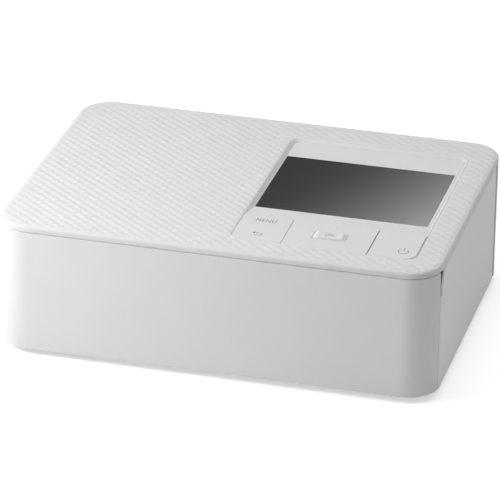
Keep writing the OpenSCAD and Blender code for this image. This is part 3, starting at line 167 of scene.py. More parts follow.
CARD_PLACE = (-0.42, 2.0, 0.98)
CARD_SIZE = (0.64, 0.44)
CARD_TILT = -60
CARD_FADE_START = -40 * MM
CARD_FADE_END = 120 * MM
CARD_DARK = 0.27
CARD_RISE = 4.95


def stage_sheet(name, half_x, half_y):
    """A flat rectangle centred on the origin, linked into the scene."""
    mesh = bpy.data.meshes.new(name)
    corners = [(-half_x, -half_y, 0), (half_x, -half_y, 0), (half_x, half_y, 0),
        (-half_x, half_y, 0)]
    mesh.from_pydata(corners, [], [(0, 1, 2, 3)])
    sheet = bpy.data.objects.new(name, mesh)
    bpy.context.scene.collection.objects.link(sheet)
    return sheet


def make_reflection_card():
    """A grey card high behind the object, for the window's mirror image. Its light is a dark level
    plus a rise that grows as the square of the distance along the card's tilted axis."""
    card = stage_sheet("reflection_card", CARD_SIZE[0] / 2, CARD_SIZE[1] / 2)
    card.matrix_world = turned_along(CARD_PLACE, -Vector(CARD_PLACE), "Z")
    material = bpy.data.materials.new("card_fade")
    material.use_nodes = True
    nt = material.node_tree
    nt.nodes.clear()
    out = nt.nodes.new("ShaderNodeOutputMaterial")
    glow = nt.nodes.new("ShaderNodeEmission")
    coords = nt.nodes.new("ShaderNodeTexCoord")
    turn = nt.nodes.new("ShaderNodeMapping")
    turn.inputs["Rotation"].default_value = (0, 0, math.radians(CARD_TILT))
    split = nt.nodes.new("ShaderNodeSeparateXYZ")
    nt.links.new(coords.outputs["Object"], turn.inputs["Vector"])
    nt.links.new(turn.outputs["Vector"], split.inputs["Vector"])
    fade = nt.nodes.new("ShaderNodeMapRange")
    fade.inputs["From Min"].default_value = CARD_FADE_START
    fade.inputs["From Max"].default_value = CARD_FADE_END
    curve = nt.nodes.new("ShaderNodeMath")
    curve.operation = "POWER"
    curve.inputs[1].default_value = 2
    level = nt.nodes.new("ShaderNodeMath")
    level.operation = "MULTIPLY_ADD"
    level.inputs[1].default_value = CARD_RISE
    level.inputs[2].default_value = CARD_DARK
    nt.links.new(split.outputs["X"], fade.inputs["Value"])
    nt.links.new(fade.outputs["Result"], curve.inputs[0])
    nt.links.new(curve.outputs[0], level.inputs[0])
    nt.links.new(level.outputs[0], glow.inputs["Strength"])
    nt.links.new(glow.outputs[0], out.inputs["Surface"])
    card.data.materials.append(material)


FLOOR_HALF = 6.0
FLOOR_WHITE = (0.82, 0.82, 0.82, 1)
FLOOR_LIFT = 0.55


def make_floor():
    """A wide pale floor that keeps the object's soft shadow. Rays that show the background see it
    a little brighter than its cloth."""
    floor = stage_sheet("studio_floor", FLOOR_HALF, FLOOR_HALF)
    material = bpy.data.materials.new("white_sweep")
    material.use_nodes = True
    nt = material.node_tree
    nt.nodes.clear()
    out = nt.nodes.new("ShaderNodeOutputMaterial")
    cloth = nt.nodes.new("ShaderNodeBsdfDiffuse")
    cloth.inputs["Color"].default_value = FLOOR_WHITE
    glow = nt.nodes.new("ShaderNodeEmission")
    glow.inputs["Strength"].default_value = FLOOR_LIFT
    lift = nt.nodes.new("ShaderNodeMixShader")
    add = nt.nodes.new("ShaderNodeAddShader")
    nt.links.new(cloth.outputs[0], add.inputs[0])
    nt.links.new(glow.outputs[0], add.inputs[1])
    nt.links.new(background_rays(nt), lift.inputs["Fac"])
    nt.links.new(cloth.outputs[0], lift.inputs[1])
    nt.links.new(add.outputs[0], lift.inputs[2])
    nt.links.new(lift.outputs[0], out.inputs["Surface"])
    floor.data.materials.append(material)


# Materials --------------------------------------------------------------------------------

TONE_DRIFT = 60
ROUGH_SPREAD = 0.05
GRAIN_STRENGTH = 0.35
BRUSH_SCALE = 900
BRUSH_DEPTH = 0.004 * MM
FILM_RINGS = 260
TRACE_SCALE = 420


def new_material(name):
    """A node material with its tree, its shader and the object's own coordinates."""
    material = bpy.data.materials.new(name)
    material.use_nodes = True
    nt = material.node_tree
    shader = nt.nodes["Principled BSDF"]
    coords = nt.nodes.new("ShaderNodeTexCoord")
    return material, nt, shader, coords.outputs["Object"]


def noise(nt, coords, scale, detail=3.0, rough=0.55):
    """Noise value at the object's coordinates."""
    tex = nt.nodes.new("ShaderNodeTexNoise")
    tex.inputs["Scale"].default_value = scale
    tex.inputs["Detail"].default_value = detail
    tex.inputs["Roughness"].default_value = rough
    nt.links.new(coords, tex.inputs["Vector"])
    return tex.outputs["Fac"]


def ramp(nt, factor, low, high, start=0.3, end=0.7):
    """Colour ramp from low to high between two levels of a factor."""
    node = nt.nodes.new("ShaderNodeValToRGB")
    node.color_ramp.elements[0].position = start
    node.color_ramp.elements[0].color = (*low, 1)
    node.color_ramp.elements[1].position = end
    node.color_ramp.elements[1].color = (*high, 1)
    nt.links.new(factor, node.inputs["Fac"])
    return node.outputs["Color"]


def bump(nt, shader, height, strength, distance):
    """Lets a height value tilt the shader's normal."""
    node = nt.nodes.new("ShaderNodeBump")
    node.inputs["Strength"].default_value = strength
    node.inputs["Distance"].default_value = distance
    nt.links.new(height, node.inputs["Height"])
    nt.links.new(node.outputs["Normal"], shader.inputs["Normal"])


def moulded(name, colour, spread, grain, grain_depth, rough, specular):
    """Moulded plastic: a faint tone drift, spark-eroded grain and a roughness that goes with it."""
    material, nt, shader, coords = new_material(name)
    drift = noise(nt, coords, TONE_DRIFT)
    low = [c * (1 - spread) for c in colour]
    high = [min(1, c * (1 + spread)) for c in colour]
    nt.links.new(ramp(nt, drift, low, high), shader.inputs["Base Color"])
    fine = noise(nt, coords, grain, 2.0)
    levels = ramp(nt, fine, [rough - ROUGH_SPREAD] * 3, [rough + ROUGH_SPREAD] * 3)
    nt.links.new(levels, shader.inputs["Roughness"])
    shader.inputs["Specular IOR Level"].default_value = specular
    bump(nt, shader, fine, GRAIN_STRENGTH, grain_depth)
    return material


def metal(name, colour, rough, brush):
    """Metal with fine brushing: noise stretched along the axis whose scale is small."""
    material, nt, shader, coords = new_material(name)
    stretch = nt.nodes.new("ShaderNodeMapping")
    stretch.inputs["Scale"].default_value = brush
    nt.links.new(coords, stretch.inputs["Vector"])
    lines = noise(nt, stretch.outputs["Vector"], BRUSH_SCALE, 4.0)
    nt.links.new(ramp(nt, lines, [c * 0.93 for c in colour], colour), shader.inputs["Base Color"])
    levels = ramp(nt, lines, [rough - 0.06] * 3, [rough + 0.08] * 3)
    nt.links.new(levels, shader.inputs["Roughness"])
    shader.inputs["Metallic"].default_value = 1.0
    bump(nt, shader, lines, 0.3, BRUSH_DEPTH)
    return material


def window_glass():
    """Tinted display window: a deep black body under a clear gloss with the faintest ripple."""
    material, nt, shader, coords = new_material("window_glass")
    drift = noise(nt, coords, 25)
    tint = ramp(nt, drift, (0.012, 0.012, 0.013), (0.015, 0.015, 0.016))
    nt.links.new(tint, shader.inputs["Base Color"])
    shader.inputs["Roughness"].default_value = 0.05
    shader.inputs["IOR"].default_value = 1.52
    bump(nt, shader, noise(nt, coords, 40, 1.0), 0.05, 0.01 * MM)
    return material


def film_roll():
    """Wound ink film: glossy with thin rings of the separate colour panels."""
    material, nt, shader, coords = new_material("ink_film")
    rings = nt.nodes.new("ShaderNodeTexWave")
    rings.bands_direction = "X"
    rings.inputs["Scale"].default_value = FILM_RINGS
    rings.inputs["Distortion"].default_value = 0.6
    nt.links.new(coords, rings.inputs["Vector"])
    tint = ramp(nt, rings.outputs["Fac"], (0.05, 0.07, 0.16), (0.09, 0.11, 0.22))
    nt.links.new(tint, shader.inputs["Base Color"])
    shader.inputs["Roughness"].default_value = 0.22
    bump(nt, shader, rings.outputs["Fac"], 0.2, 0.01 * MM)
    return material


def circuit_board():
    """Solder mask over copper: fine traces from a cell pattern, with a satin gloss."""
    material, nt, shader, coords = new_material("board_green")
    cells = nt.nodes.new("ShaderNodeTexVoronoi")
    cells.feature = "DISTANCE_TO_EDGE"
    cells.distance = "MANHATTAN"
    cells.inputs["Scale"].default_value = TRACE_SCALE
    nt.links.new(coords, cells.inputs["Vector"])
    mask = ramp(nt, cells.outputs["Distance"], (0.03, 0.2, 0.1), (0.012, 0.11, 0.05), 0.02, 0.08)
    nt.links.new(mask, shader.inputs["Base Color"])
    shader.inputs["Roughness"].default_value = 0.3
    bump(nt, shader, cells.outputs["Distance"], 0.15, 0.02 * MM)
    return material


SHELL_TONE = (0.80, 0.80, 0.795)
DECK_TONE = (0.76, 0.76, 0.755)
PANEL_TONE = (0.74, 0.74, 0.74)
CONFIRM_TONE = (0.72, 0.72, 0.72)
# Paler white of the confirm key's shoulder plate and the panel's corner bead: a painted highlight
# for their glints
PAINTED_GLINT_TONE = (0.95, 0.95, 0.95)

# Colour, tone spread, grain scale, grain depth, roughness and specular level of each plastic
PLASTICS = {
    "shell_white": (SHELL_TONE, 0.008, 5200, 0.006 * MM, 0.42, 0.4),
    "deck_white": (DECK_TONE, 0.008, 5200, 0.008 * MM, 0.5, 0.4),
    "panel_white": (PANEL_TONE, 0.005, 6500, 0.003 * MM, 0.38, 0.4),
    "key_white": (PANEL_TONE, 0.005, 6500, 0.003 * MM, 0.38, 0.4),
    "dark_plastic": ((0.03, 0.03, 0.032), 0.08, 3600, 0.02 * MM, 0.5, 0.5),
    "rubber_black": ((0.022, 0.022, 0.022), 0.15, 2600, 0.03 * MM, 0.78, 0.25),
    "ceramic": ((0.62, 0.58, 0.5), 0.03, 3000, 0.004 * MM, 0.35, 0.5),
    "gear_acetal": ((0.72, 0.7, 0.62), 0.03, 2400, 0.006 * MM, 0.42, 0.5),
    "lever_amber": ((0.55, 0.2, 0.03), 0.04, 3000, 0.01 * MM, 0.45, 0.5),
    "confirm_white": (CONFIRM_TONE, 0.005, 6500, 0.0003 * MM, 0.06, 0.7),
    # painted highlight: a paler, glossy white for the glints on the confirm key's shoulder and the
    # panel's corner bead
    "painted_glint_white": (PAINTED_GLINT_TONE, 0.003, 6500, 0.0003 * MM, 0.08, 0.7),
    "rim_white": (PANEL_TONE, 0.005, 6500, 0.0005 * MM, 0.1, 0.6),
    "legend_grey": ((0.2, 0.2, 0.205), 0.05, 4000, 0.001 * MM, 0.5, 0.5),
}

# Colour, roughness and brushing scale of each metal
METALS = {
    "zinc_steel": ((0.62, 0.63, 0.64), 0.32, (1, 1, 0.08)),
    "pin_steel": ((0.66, 0.67, 0.68), 0.22, (0.05, 1, 1)),
    "aluminium": ((0.74, 0.75, 0.76), 0.36, (1, 0.06, 1)),
    "brass": ((0.62, 0.44, 0.18), 0.25, (0.1, 1, 1)),
    "socket_metal": ((0.7, 0.7, 0.71), 0.25, (1, 0.1, 1)),
}


def make_materials():
    """Every finish of the printer by its name, most of them a slot of the record."""
    finishes = {name: moulded(name, *values) for name, values in PLASTICS.items()}
    finishes.update({name: metal(name, *values) for name, values in METALS.items()})
    finishes["window_glass"] = window_glass()
    finishes["board_green"] = circuit_board()
    finishes["ink_film"] = film_roll()
    return finishes


def dress_nodes(materials):
    """Every CAD node shows the material of its slot in the record."""
    for row in frame["record"]["subparts"]:
        mesh = nodes[row["node"]].data
        mesh.materials.clear()
        mesh.materials.append(materials[row["material_slot"]])


# Pieces -----------------------------------------------------------------------------------

MERGE_REACH = 0.0005 * MM


def piece_from_grid(name, points, keep, material, body, closed=True):
    """A surface from a grid of points (rows, columns, 3); keep says which cells have a face."""
    rows, cols = points.shape[:2]
    index = np.arange(rows * cols).reshape(rows, cols)
    quads = np.stack([index[:-1, :-1], index[:-1, 1:], index[1:, 1:], index[1:, :-1]], -1)[keep]
    used, flat = np.unique(quads, return_inverse=True)
    quads = flat.reshape(-1, 4)
    mesh = bpy.data.meshes.new(name)
    mesh.vertices.add(len(used))
    mesh.vertices.foreach_set("co", points.reshape(-1, 3)[used].astype(np.float32).ravel())
    mesh.loops.add(quads.size)
    mesh.loops.foreach_set("vertex_index", quads.ravel().astype(np.int32))
    mesh.polygons.add(len(quads))
    mesh.polygons.foreach_set("loop_start", np.arange(0, quads.size, 4, dtype=np.int32))
    mesh.polygons.foreach_set("use_smooth", np.ones(len(quads), bool))
    mesh.update(calc_edges=True)
    mesh.validate()
    return finish_piece(name, mesh, material, body, closed)


def piece_from_sections(name, sections, material, body, smooth=True):
    """A closed solid from a stack of closed outlines (count, points, 3): quads between each two
    outlines, and one flat face over the first and the last."""
    sections = np.asarray(sections)
    count, around = sections.shape[:2]
    index = np.arange(count * around).reshape(count, around)
    turned = np.roll(index, -1, axis=1)
    quads = np.stack([index[:-1], turned[:-1], turned[1:], index[1:]], -1).reshape(-1, 4)
    faces = quads.tolist() + [index[0, ::-1].tolist(), index[-1].tolist()]
    mesh = bpy.data.meshes.new(name)
    mesh.from_pydata(sections.reshape(-1, 3).tolist(), [], faces)
    flags = np.full(len(faces), smooth)
    flags[-2:] = False
    mesh.polygons.foreach_set("use_smooth", flags)
    mesh.update()
    return finish_piece(name, mesh, material, body)


def finish_piece(name, mesh, material, body, closed=True):
    """Makes a mesh an object on its body. A closed one has its seams merged and faces out."""
    if closed:
        shell = bmesh.new()
        shell.from_mesh(mesh)
        bmesh.ops.remove_doubles(shell, verts=shell.verts, dist=MERGE_REACH)
        bmesh.ops.recalc_face_normals(shell, faces=shell.faces)
        shell.to_mesh(mesh)
        shell.free()
    mesh.materials.append(material)
    piece = bpy.data.objects.new(name, mesh)
    bpy.context.scene.collection.objects.link(piece)
    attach(piece, body)
    return piece


LEAST_CORNER = 0.03 * MM


def rounded_outline(lo, hi, radii, inset, z, per_corner=7):
    """Points at one height round a rectangle drawn in by inset, its corners quarter circles whose
    radii shrink with it. radii run counterclockwise from the back right corner."""
    turn = np.linspace(0, math.pi / 2, per_corner)
    corners = []
    for k, (sx, sy) in enumerate(((1, 1), (-1, 1), (-1, -1), (1, -1))):
        r = max(radii[k] - inset, LEAST_CORNER)
        cx = (hi[0] - inset - r) if sx > 0 else (lo[0] + inset + r)
        cy = (hi[1] - inset - r) if sy > 0 else (lo[1] + inset + r)
        angle = turn + k * math.pi / 2
        corners.append(np.stack([cx + r * np.cos(angle), cy + r * np.sin(angle)], -1))
    outline = np.concatenate(corners)
    return np.column_stack([outline, np.full(len(outline), z)])


def circle(centre, r, z, count):
    """Points round a level circle."""
    a = np.linspace(0, 2 * math.pi, count, endpoint=False)
    x, y = centre[0] + r * np.cos(a), centre[1] + r * np.sin(a)
    return np.column_stack([x, y, np.full(count, z)])


def edge_rounding(top, r, steps=5):
    """Quarter-round profile as (inset, height) rows, from the wall up on to the flat."""
    t = np.linspace(0, math.pi / 2, steps)
    return [(r * (1 - math.cos(a)), top - r * (1 - math.sin(a))) for a in t]


def inside_distance(x, y, lo, hi, r):
    """Distance inwards from a rounded rectangle's outline, negative outside it."""
    cx, cy = (lo[0] + hi[0]) / 2, (lo[1] + hi[1]) / 2
    qx = np.abs(x - cx) - ((hi[0] - lo[0]) / 2 - r)
    qy = np.abs(y - cy) - ((hi[1] - lo[1]) / 2 - r)
    outside = np.hypot(np.maximum(qx, 0), np.maximum(qy, 0))
    return r - outside - np.minimum(np.maximum(qx, qy), 0)


LATTICE_WAVES = ((190.5, 234.0), (190.5, -234.0))
LATTICE_HEIGHT = 0.25 * MM
LATTICE_STEP = 0.45 * MM
LATTICE_FADE = 0.7 * MM
LATTICE_SINK = 0.1 * MM
LATTICE_SEAT = 0.002 * MM
PANEL_MARGIN = 0.45 * MM
FADE_KEPT = -0.8


def deck_relief(materials):
    """The deck's lattice: height is the mean of two cosine waves whose ridges cross at 78 degrees.
    It sinks just under the deck at the rim and round the panel, so that its border isn't seen."""
    x = np.arange(-half_w + edge_r * 0.5, half_w - edge_r * 0.5, LATTICE_STEP)
    y = np.arange(-half_d + edge_r * 0.5, half_d - edge_r * 0.5, LATTICE_STEP)
    gx, gy = np.meshgrid(x, y)
    waves = [np.cos(2 * np.pi * (kx * gx + ky * gy)) for kx, ky in LATTICE_WAVES]
    rim = inside_distance(gx, gy, (-half_w, -half_d), (half_w, half_d), corner_r) - edge_r
    panel = -inside_distance(gx, gy, panel_lo, panel_hi, panel_r) - PANEL_MARGIN
    room = np.clip(np.minimum(rim, panel) / LATTICE_FADE, -1, 1)
    height = LATTICE_HEIGHT * (0.5 * (waves[0] + waves[1]) + 1.05)
    gz = deck_z + np.where(room > 0, height * room, room * LATTICE_SINK) - LATTICE_SEAT
    points = np.stack([gx, gy, gz], -1)
    near = room > FADE_KEPT
    keep = near[:-1, :-1] & near[:-1, 1:] & near[1:, 1:] & near[1:, :-1]
    piece_from_grid("deck_lattice", points, keep, materials["deck_white"], "chassis",
        closed=False)


# Control panel ----------------------------------------------------------------------------

KEY_SKIN = 0.2 * MM
KEY_OPEN = -0.04 * MM
KEY_CLOSE = 0.05 * MM
KEY_OUTER = 0.13 * MM
KEY_FRONT = 0.06 * MM
KEY_EDGE_R = 0.3 * MM
KEY_EDGE_FLAT = 0.1 * MM
KEY_SKIRT = 0.8 * MM
KEY_CORNER_R = 0.3 * MM

menu_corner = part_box("menu_key_plate")[1]
keys_top = menu_corner.z + KEY_SKIN


def key_skins(materials):
    """A thin skin over each key plate: a stack of outlines that follow a wall, a quarter round and
    the flat, so that the edge catches the light."""
    small = KEY_CORNER_R
    for node, body, radii, left, right, front in (
            ("menu_key_plate", "menu_key", (small, small, panel_r, small),
                KEY_OUTER, KEY_CLOSE, KEY_FRONT),
            ("navigation_plate", "navigation_key", (small, small, small, small),
                KEY_CLOSE, KEY_OPEN, 0),
            ("power_key_plate", "power_key", (small, small, small, panel_r),
                KEY_OPEN, KEY_OPEN, KEY_FRONT)):
        lo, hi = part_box(node)
        top = hi.z + KEY_SKIN
        profile = [(0, hi.z - KEY_SKIRT)] + edge_rounding(top, KEY_EDGE_R)
        profile += [(KEY_EDGE_R + KEY_EDGE_FLAT, top)]
        skin_lo, skin_hi = (lo.x - left, lo.y - front), (hi.x + right, hi.y)
        rings = [rounded_outline(skin_lo, skin_hi, radii, inset, z) for inset, z in profile]
        if node == "navigation_plate":
            framed_skin("navigation_key_skin", rings, materials["key_white"], body)
        else:
            piece_from_sections(node.replace("plate", "skin"), rings, materials["key_white"],
                body)


CONFIRM_GAP = 0.12 * MM
CONFIRM_HOLE_R = 0.8 * MM
HOLE_EDGE = 0.1 * MM
HOLE_SHOULDER = 0.25 * MM


def framed_skin(name, outer, material, body):
    """The skin of the plate that has the confirm key in it: outlines from the outer edge in to the
    key's opening, the same number of points on each, joined row by row."""
    lo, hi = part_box("ok_button")
    top, low = outer[-1][0, 2], outer[0][0, 2]
    inner = []
    for grow, z in ((HOLE_SHOULDER, top), (HOLE_EDGE, top), (0, top - HOLE_EDGE), (0, low)):
        reach = CONFIRM_GAP + grow
        inner.append(rounded_outline((lo.x - reach, lo.y - reach), (hi.x + reach, hi.y + reach),
            [CONFIRM_HOLE_R + grow] * 4, 0, z))
    rings = np.array(outer + inner + outer[:1])
    points = np.concatenate([rings, rings[:, :1]], axis=1)
    keep = np.ones((points.shape[0] - 1, points.shape[1] - 1), bool)
    piece_from_grid(name, points[:, ::-1], keep, material, body)


CONFIRM_SLOPE = 1.9 * MM
CONFIRM_FRONT = 0.45 * MM
CONFIRM_RISE = 0.32 * MM
CONFIRM_CORNER_R = 0.9 * MM
CONFIRM_DEPTH = 1.5 * MM
FACET_ENDS = (0.08, 0.88)
FACET_INSET = 0.7 * MM
FACET_PROUD = 0.06 * MM
STEM_R = 1.4 * MM

confirm_lo, confirm_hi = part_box("ok_button")
confirm_top = confirm_hi.z + CONFIRM_RISE


def confirm_key(materials):
    """The confirm key: straight walls in its opening, then a shoulder up to a flat top that is long
    at its two ends and short at front and back, on a round stem over its switch."""
    lo, hi = confirm_lo, confirm_hi
    rise = confirm_top - keys_top
    rings = []
    for share, z in ((0, keys_top - CONFIRM_DEPTH), (0, keys_top - 0.2 * MM),
            (0.03, keys_top - 0.15 * MM), (0.9, keys_top + 0.9 * rise),
            (1, confirm_top - 0.005 * MM), (1.08, confirm_top)):
        ends, front = share * CONFIRM_SLOPE, share * CONFIRM_FRONT
        rings.append(rounded_outline((lo.x + ends, lo.y + front), (hi.x - ends, hi.y - front),
            [CONFIRM_CORNER_R] * 4, 0, z))
    key = piece_from_sections("confirm_key", rings, materials["confirm_white"], "ok_key",
        smooth=False)
    # the paler plate on the left shoulder is a painted highlight
    confirm_painted_glint(keys_top - 0.1 * MM, keys_top + FACET_ENDS[1] * rise, materials)
    middle = ((lo.x + hi.x) / 2, (lo.y + hi.y) / 2)
    stem = [circle(middle, r, z, 24) for r, z in ((STEM_R * 0.8, lo.z),
        (STEM_R, lo.z + 0.3 * MM), (STEM_R, keys_top - CONFIRM_DEPTH + 0.1 * MM))]
    post = piece_from_sections("confirm_key_stem", stem, materials["key_white"], "ok_key")
    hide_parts("ok_button")
    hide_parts("ok_button")


def confirm_painted_glint(low, high, materials):
    """A thin plate between two heights on the key's left shoulder, paler and glossier than the key:
    a painted highlight for the glint on that slope.
    """
    sections = []
    for share, z in zip(FACET_ENDS, (low, high)):
        x = confirm_lo.x + share * CONFIRM_SLOPE
        front, back = confirm_lo.y + FACET_INSET, confirm_hi.y - FACET_INSET
        above = z + FACET_PROUD
        sections.append([(x, front, z), (x, back, z), (x, back, above), (x, front, above)])
    piece_from_sections("confirm_key_painted_glint", sections, materials["painted_glint_white"], "ok_key",
        smooth=False)


INK_H = 0.012 * MM
INK_SEAT = 0.002 * MM
INK_LINE = 0.34 * MM
LETTER_SPACE = 1.12


def stroke(name, path, width, z, material, body):
    """A printed line: a flat ribbon of the given width carried along a path of (x, y) points."""
    along = np.gradient(path, axis=0)
    along /= np.linalg.norm(along, axis=1)[:, None]
    side = np.stack([-along[:, 1], along[:, 0]], -1) * width / 2
    low, high = z + INK_SEAT, z + INK_H
    sections = np.stack([np.column_stack([path + sign * side, np.full(len(path), h)])
        for sign, h in ((-1, low), (-1, high), (1, high), (1, low))], 1)
    piece_from_sections(name, sections, material, body, smooth=False)


def arc(centre, r, start, end, count):
    """Points along a circle's arc, from one angle in degrees to another."""
    a = np.radians(np.linspace(start, end, count))
    return np.stack([centre[0] + r * np.cos(a), centre[1] + r * np.sin(a)], -1)


def word(name, text, centre, width, height, z, material, body):
    """A printed word: the plain built-in letters made a mesh, fitted to a width and cap height."""
    data = bpy.data.curves.new(name, "FONT")
    data.body = text
    data.space_character = LETTER_SPACE
    data.resolution_u = 4
    data.extrude = 0.5
    holder = bpy.data.objects.new(name, data)
    bpy.context.scene.collection.objects.link(holder)
    bpy.context.view_layer.update()
    solved = holder.evaluated_get(bpy.context.evaluated_depsgraph_get())
    mesh = bpy.data.meshes.new_from_object(solved)
    bpy.data.objects.remove(holder)
    co = np.empty(len(mesh.vertices) * 3)
    mesh.vertices.foreach_get("co", co)
    co = co.reshape(-1, 3)
    low, high = co.min(0), co.max(0)
    size = np.array([width, height, INK_H - INK_SEAT])
    middle = np.array([centre[0], centre[1], z + INK_SEAT / 2 + INK_H / 2])
    co = (co - (low + high) / 2) / (high - low) * size + middle
    mesh.vertices.foreach_set("co", co.ravel())
    mesh.materials.clear()
    mesh.update()
    finish_piece(name, mesh, material, body)


MENU_AT, MENU_SIZE = (14.2 * MM, -34.7 * MM), (8.3 * MM, 2.9 * MM)
CONFIRM_AT, CONFIRM_SIZE = (42.4 * MM, -42 * MM), (4.1 * MM, 2.2 * MM)
ARROW_AT = (13.8 * MM, -47.7 * MM)
ARROW_BEND_R = 0.95 * MM
ARROW_BARB = (0.85 * MM, 0.8 * MM)
STANDBY_AT = (73.5 * MM, -47.6 * MM)
STANDBY_R = 2.05 * MM
STANDBY_BAR = (3 * MM, 0.7 * MM)


def legends(materials):
    """Printed marks: the menu word and return arrow, the confirm word and the standby sign."""
    ink = materials["legend_grey"]
    word("menu_word", "MENU", MENU_AT, *MENU_SIZE, keys_top, ink, "menu_key")
    word("confirm_word", "OK", CONFIRM_AT, *CONFIRM_SIZE, confirm_top, ink, "ok_key")
    x, y = ARROW_AT
    bend = arc((x + 1.1 * MM, y), ARROW_BEND_R, 90, -90, 16)
    tail = np.array([[x - 1.1 * MM, y - ARROW_BEND_R]])
    tip = (x - 1.9 * MM, y + ARROW_BEND_R)
    line = np.concatenate([np.array([tip]), bend, tail])
    stroke("return_arrow_line", line, INK_LINE, keys_top, ink, "menu_key")
    for sign, part in ((1, "upper"), (-1, "lower")):
        barb = np.linspace(tip, (tip[0] + ARROW_BARB[0], tip[1] + sign * ARROW_BARB[1]), 3)
        stroke("return_arrow_%s_barb" % part, barb, INK_LINE, keys_top, ink, "menu_key")
    ring = arc(STANDBY_AT, STANDBY_R, 125, 415, 40)
    stroke("standby_ring", ring, INK_LINE, keys_top, ink, "power_key")
    x, y = STANDBY_AT
    bar = np.linspace((x, y + STANDBY_BAR[0]), (x, y + STANDBY_BAR[1]), 3)
    stroke("standby_bar", bar, INK_LINE, keys_top, ink, "power_key")


PIP_AT = (43 * MM, -33.2 * MM)
PIP_R = 0.55 * MM
PIP_H = 0.22 * MM
PIP_TURN = 1.45


def locating_pip(materials):
    """A small raised dot behind the confirm key: a cap whose radius is a cosine and whose height
    is a sine of the way up, that a fingertip can find."""
    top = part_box("navigation_plate")[1].z + KEY_SKIN
    angles = np.linspace(0, 1, 6) * PIP_TURN
    profile = [(PIP_R, top - 0.02 * MM)]
    profile += [(PIP_R * math.cos(t), top + PIP_H * math.sin(t)) for t in angles]
    piece_from_sections("locating_pip", [circle(PIP_AT, r, z, 20) for r, z in profile],
        materials["key_white"], "navigation_key")


RIM_R = 0.2 * MM
RIM_OUT = 1.1
RIM_SINK = 0.03 * MM


def panel_rim(materials):
    """The half-round bead round the panel: a semicircle carried round the panel's outline."""
    rings = [rounded_outline(panel_lo, panel_hi, [panel_r] * 4, -RIM_R * (RIM_OUT + math.cos(a)),
        deck_z - RIM_SINK + RIM_R * math.sin(a), 15) for a in np.linspace(0, math.pi, 9)]
    points = np.array(rings)
    points = np.concatenate([points, points[:, :1]], axis=1)
    points = np.concatenate([points, points[:1]])
    keep = np.ones((points.shape[0] - 1, points.shape[1] - 1), bool)
    piece_from_grid("panel_rim", points, keep, materials["rim_white"], "chassis")


CORNER_BEAD_R = 0.6 * MM
CORNER_BEAD_OUT = 0.62 * MM
CORNER_BEAD_SINK = 0.12 * MM
CORNER_BEAD_TURN = (196, 250)


def corner_bead(materials):
    """The bead at the panel's front left corner: a tube along an arc, whose radius grows
    and falls as the square root of a sine. Its tube catches real light, and its paler white is a
    painted highlight for the corner's glint."""
    middle = (panel_lo.x + panel_r, panel_lo.y + panel_r)
    line = arc(middle, panel_r + CORNER_BEAD_OUT, *CORNER_BEAD_TURN, 17)
    outward = line - middle
    outward /= np.linalg.norm(outward, axis=1)[:, None]
    t = np.linspace(0, 1, 17)
    r = CORNER_BEAD_R * np.sqrt(np.maximum(np.sin(np.pi * t), 0.002))
    a = np.linspace(0, 2 * math.pi, 12, endpoint=False)
    flat = line[:, None] + outward[:, None] * (r[:, None] * np.cos(a))[..., None]
    height = deck_z - CORNER_BEAD_SINK + r[:, None] * np.sin(a)
    # paler white on the bead: painted highlight at the corner
    piece_from_sections("panel_corner_bead", np.concatenate([flat, height[..., None]], axis=-1),
        materials["painted_glint_white"], "chassis")


# Size and place of the dark strips of painted shade in the key gaps
GAP_SHADE_W = 0.18 * MM
GAP_SHADE_DEPTH = 0.03 * MM
GAP_SHADE_INSET = 0.1 * MM
GAP_SHADE_TURN = -55


def painted_gap_shades(materials):
    """Dark strips put in the gap left of the power key and along the panel's right edge: painted
    shade for the shadow down in those gaps.
    """
    power_x = (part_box("power_key_plate")[0].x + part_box("navigation_plate")[1].x) / 2
    front, back = panel_lo.y + 0.5 * MM, menu_corner.y - 0.2 * MM
    # the dark plastic finish here is painted shade in the gaps, not a part of its own
    dark = materials["dark_plastic"]
    line = np.linspace((power_x, front), (power_x, back), 8)
    stroke("power_key_gap_shade", line, GAP_SHADE_W, keys_top - GAP_SHADE_DEPTH, dark, "chassis")
    bend = arc((panel_hi.x - panel_r, panel_lo.y + panel_r), panel_r - GAP_SHADE_INSET, 0, GAP_SHADE_TURN, 12)
    path = np.concatenate([np.array([[panel_hi.x - GAP_SHADE_INSET, back]]), bend])
    stroke("panel_edge_gap_shade", path, GAP_SHADE_W, keys_top - GAP_SHADE_DEPTH, dark, "chassis")


# Inside -----------------------------------------------------------------------------------

TUBE_STEPS = 6
TUBE_SMOOTH = 0.55
TUBE_SIDE = (0.31, 0.52, 0.79)
LEAD_R = 0.55 * MM
LEAD_POINTS = 8


def swept_tube(name, path, r, material, body):
    """A round tube along a path: each point of its line is the mean of the path's corners, each
    weighed by a bell curve of its distance, and circles of radius r stand square to the line."""
    path = np.asarray(path)
    t = np.linspace(0, len(path) - 1, TUBE_STEPS * (len(path) - 1) + 1)
    near = np.exp(-((t[:, None] - np.arange(len(path))) / TUBE_SMOOTH) ** 2)
    near[0], near[-1] = np.eye(len(path))[0], np.eye(len(path))[-1]
    line = near @ path / near.sum(1)[:, None]
    along = np.gradient(line, axis=0)
    along /= np.linalg.norm(along, axis=1)[:, None]
    side = np.cross(along, TUBE_SIDE)
    side /= np.linalg.norm(side, axis=1)[:, None]
    up = np.cross(along, side)
    a = np.linspace(0, 2 * math.pi, LEAD_POINTS, endpoint=False)[None, :, None]
    offset = np.cos(a) * side[:, None] + np.sin(a) * up[:, None]
    piece_from_sections(name, line[:, None] + r * offset, material, body)


RIBBON_THICK = 0.03 * MM
RIBBON_UNDER = 0.07 * MM
RIBBON_REACH = 6.9 * MM
RIBBON_EDGE = 1.5 * MM


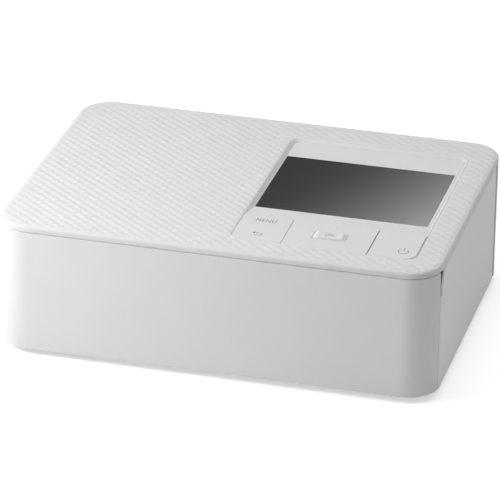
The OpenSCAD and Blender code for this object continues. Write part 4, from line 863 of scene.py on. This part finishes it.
def ink_ribbon(materials):
    """The film between the two lobes of the ink cassette, drawn down under the thermal head: a
    thin sheet along x with its path in the y z plane."""
    lo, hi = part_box("thermal_head")
    exit_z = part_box("ink_cassette_case")[0].z + 1.5 * MM
    under = lo.z - RIBBON_UNDER
    bend_z = under + 0.25 * MM
    path = np.array([(lo.y - RIBBON_REACH, exit_z), (lo.y - 0.5 * MM, bend_z),
        (lo.y + 0.8 * MM, under), (hi.y - 0.8 * MM, under),
        (hi.y + 0.5 * MM, bend_z), (hi.y + RIBBON_REACH, exit_z)])
    left, right = lo.x + RIBBON_EDGE, hi.x - RIBBON_EDGE
    sections = np.stack([np.column_stack([np.full(len(path), x), path + (0, dz)])
        for x, dz in ((left, 0), (right, 0), (right, RIBBON_THICK), (left, RIBBON_THICK))], 1)
    piece_from_sections("ink_ribbon", sections, materials["ink_film"], "chassis",
        smooth=False)


def inside_leads(materials):
    """The fan's two leads and the feed motor's two leads up to the main board."""
    fan_lo, fan_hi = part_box("cooling_fan_housing")
    motor_lo, motor_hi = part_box("feed_motor")
    board_lo, board_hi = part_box("main_board")
    on_board = board_lo.z + 0.2 * MM
    fan_z = fan_lo.z + 18 * MM
    for k, (name, colour) in enumerate((("fan_lead_plus", "lever_amber"),
            ("fan_lead_minus", "rubber_black"))):
        x = fan_hi.x - (4 + 1.6 * k) * MM
        bent = x + 1 * MM
        path = [(x, fan_lo.y - 0.2 * MM, fan_z), (x, fan_lo.y - 3 * MM, fan_z + 0.4 * MM),
            (bent, fan_lo.y - 7 * MM, board_lo.z - 4 * MM),
            (bent, board_hi.y - 3 * MM, board_lo.z - 2.2 * MM),
            (bent, board_hi.y - 5 * MM, on_board)]
        swept_tube(name, path, LEAD_R, materials[colour], "chassis")
    middle = (motor_lo.y + motor_hi.y) / 2
    x, z = motor_hi.x, motor_hi.z
    for k, (name, colour) in enumerate((("motor_lead_plus", "lever_amber"),
            ("motor_lead_minus", "rubber_black"))):
        y = middle + (3.2 - 6.4 * k) * MM
        path = [(x + 0.2 * MM, y, z - 5 * MM), (x + 2.5 * MM, y, z - 4.4 * MM),
            (x + 4 * MM, y, z - 1.5 * MM), (x + 4 * MM, y, on_board)]
        swept_tube(name, path, LEAD_R, materials[colour], "chassis")


# Assembly ---------------------------------------------------------------------------------

make_camera()
make_studio()
make_floor()
make_reflection_card()
materials = make_materials()
dress_nodes(materials)
deck_relief(materials)
key_skins(materials)
confirm_key(materials)
legends(materials)
locating_pip(materials)
panel_rim(materials)
corner_bead(materials)
painted_gap_shades(materials)
ink_ribbon(materials)
inside_leads(materials)
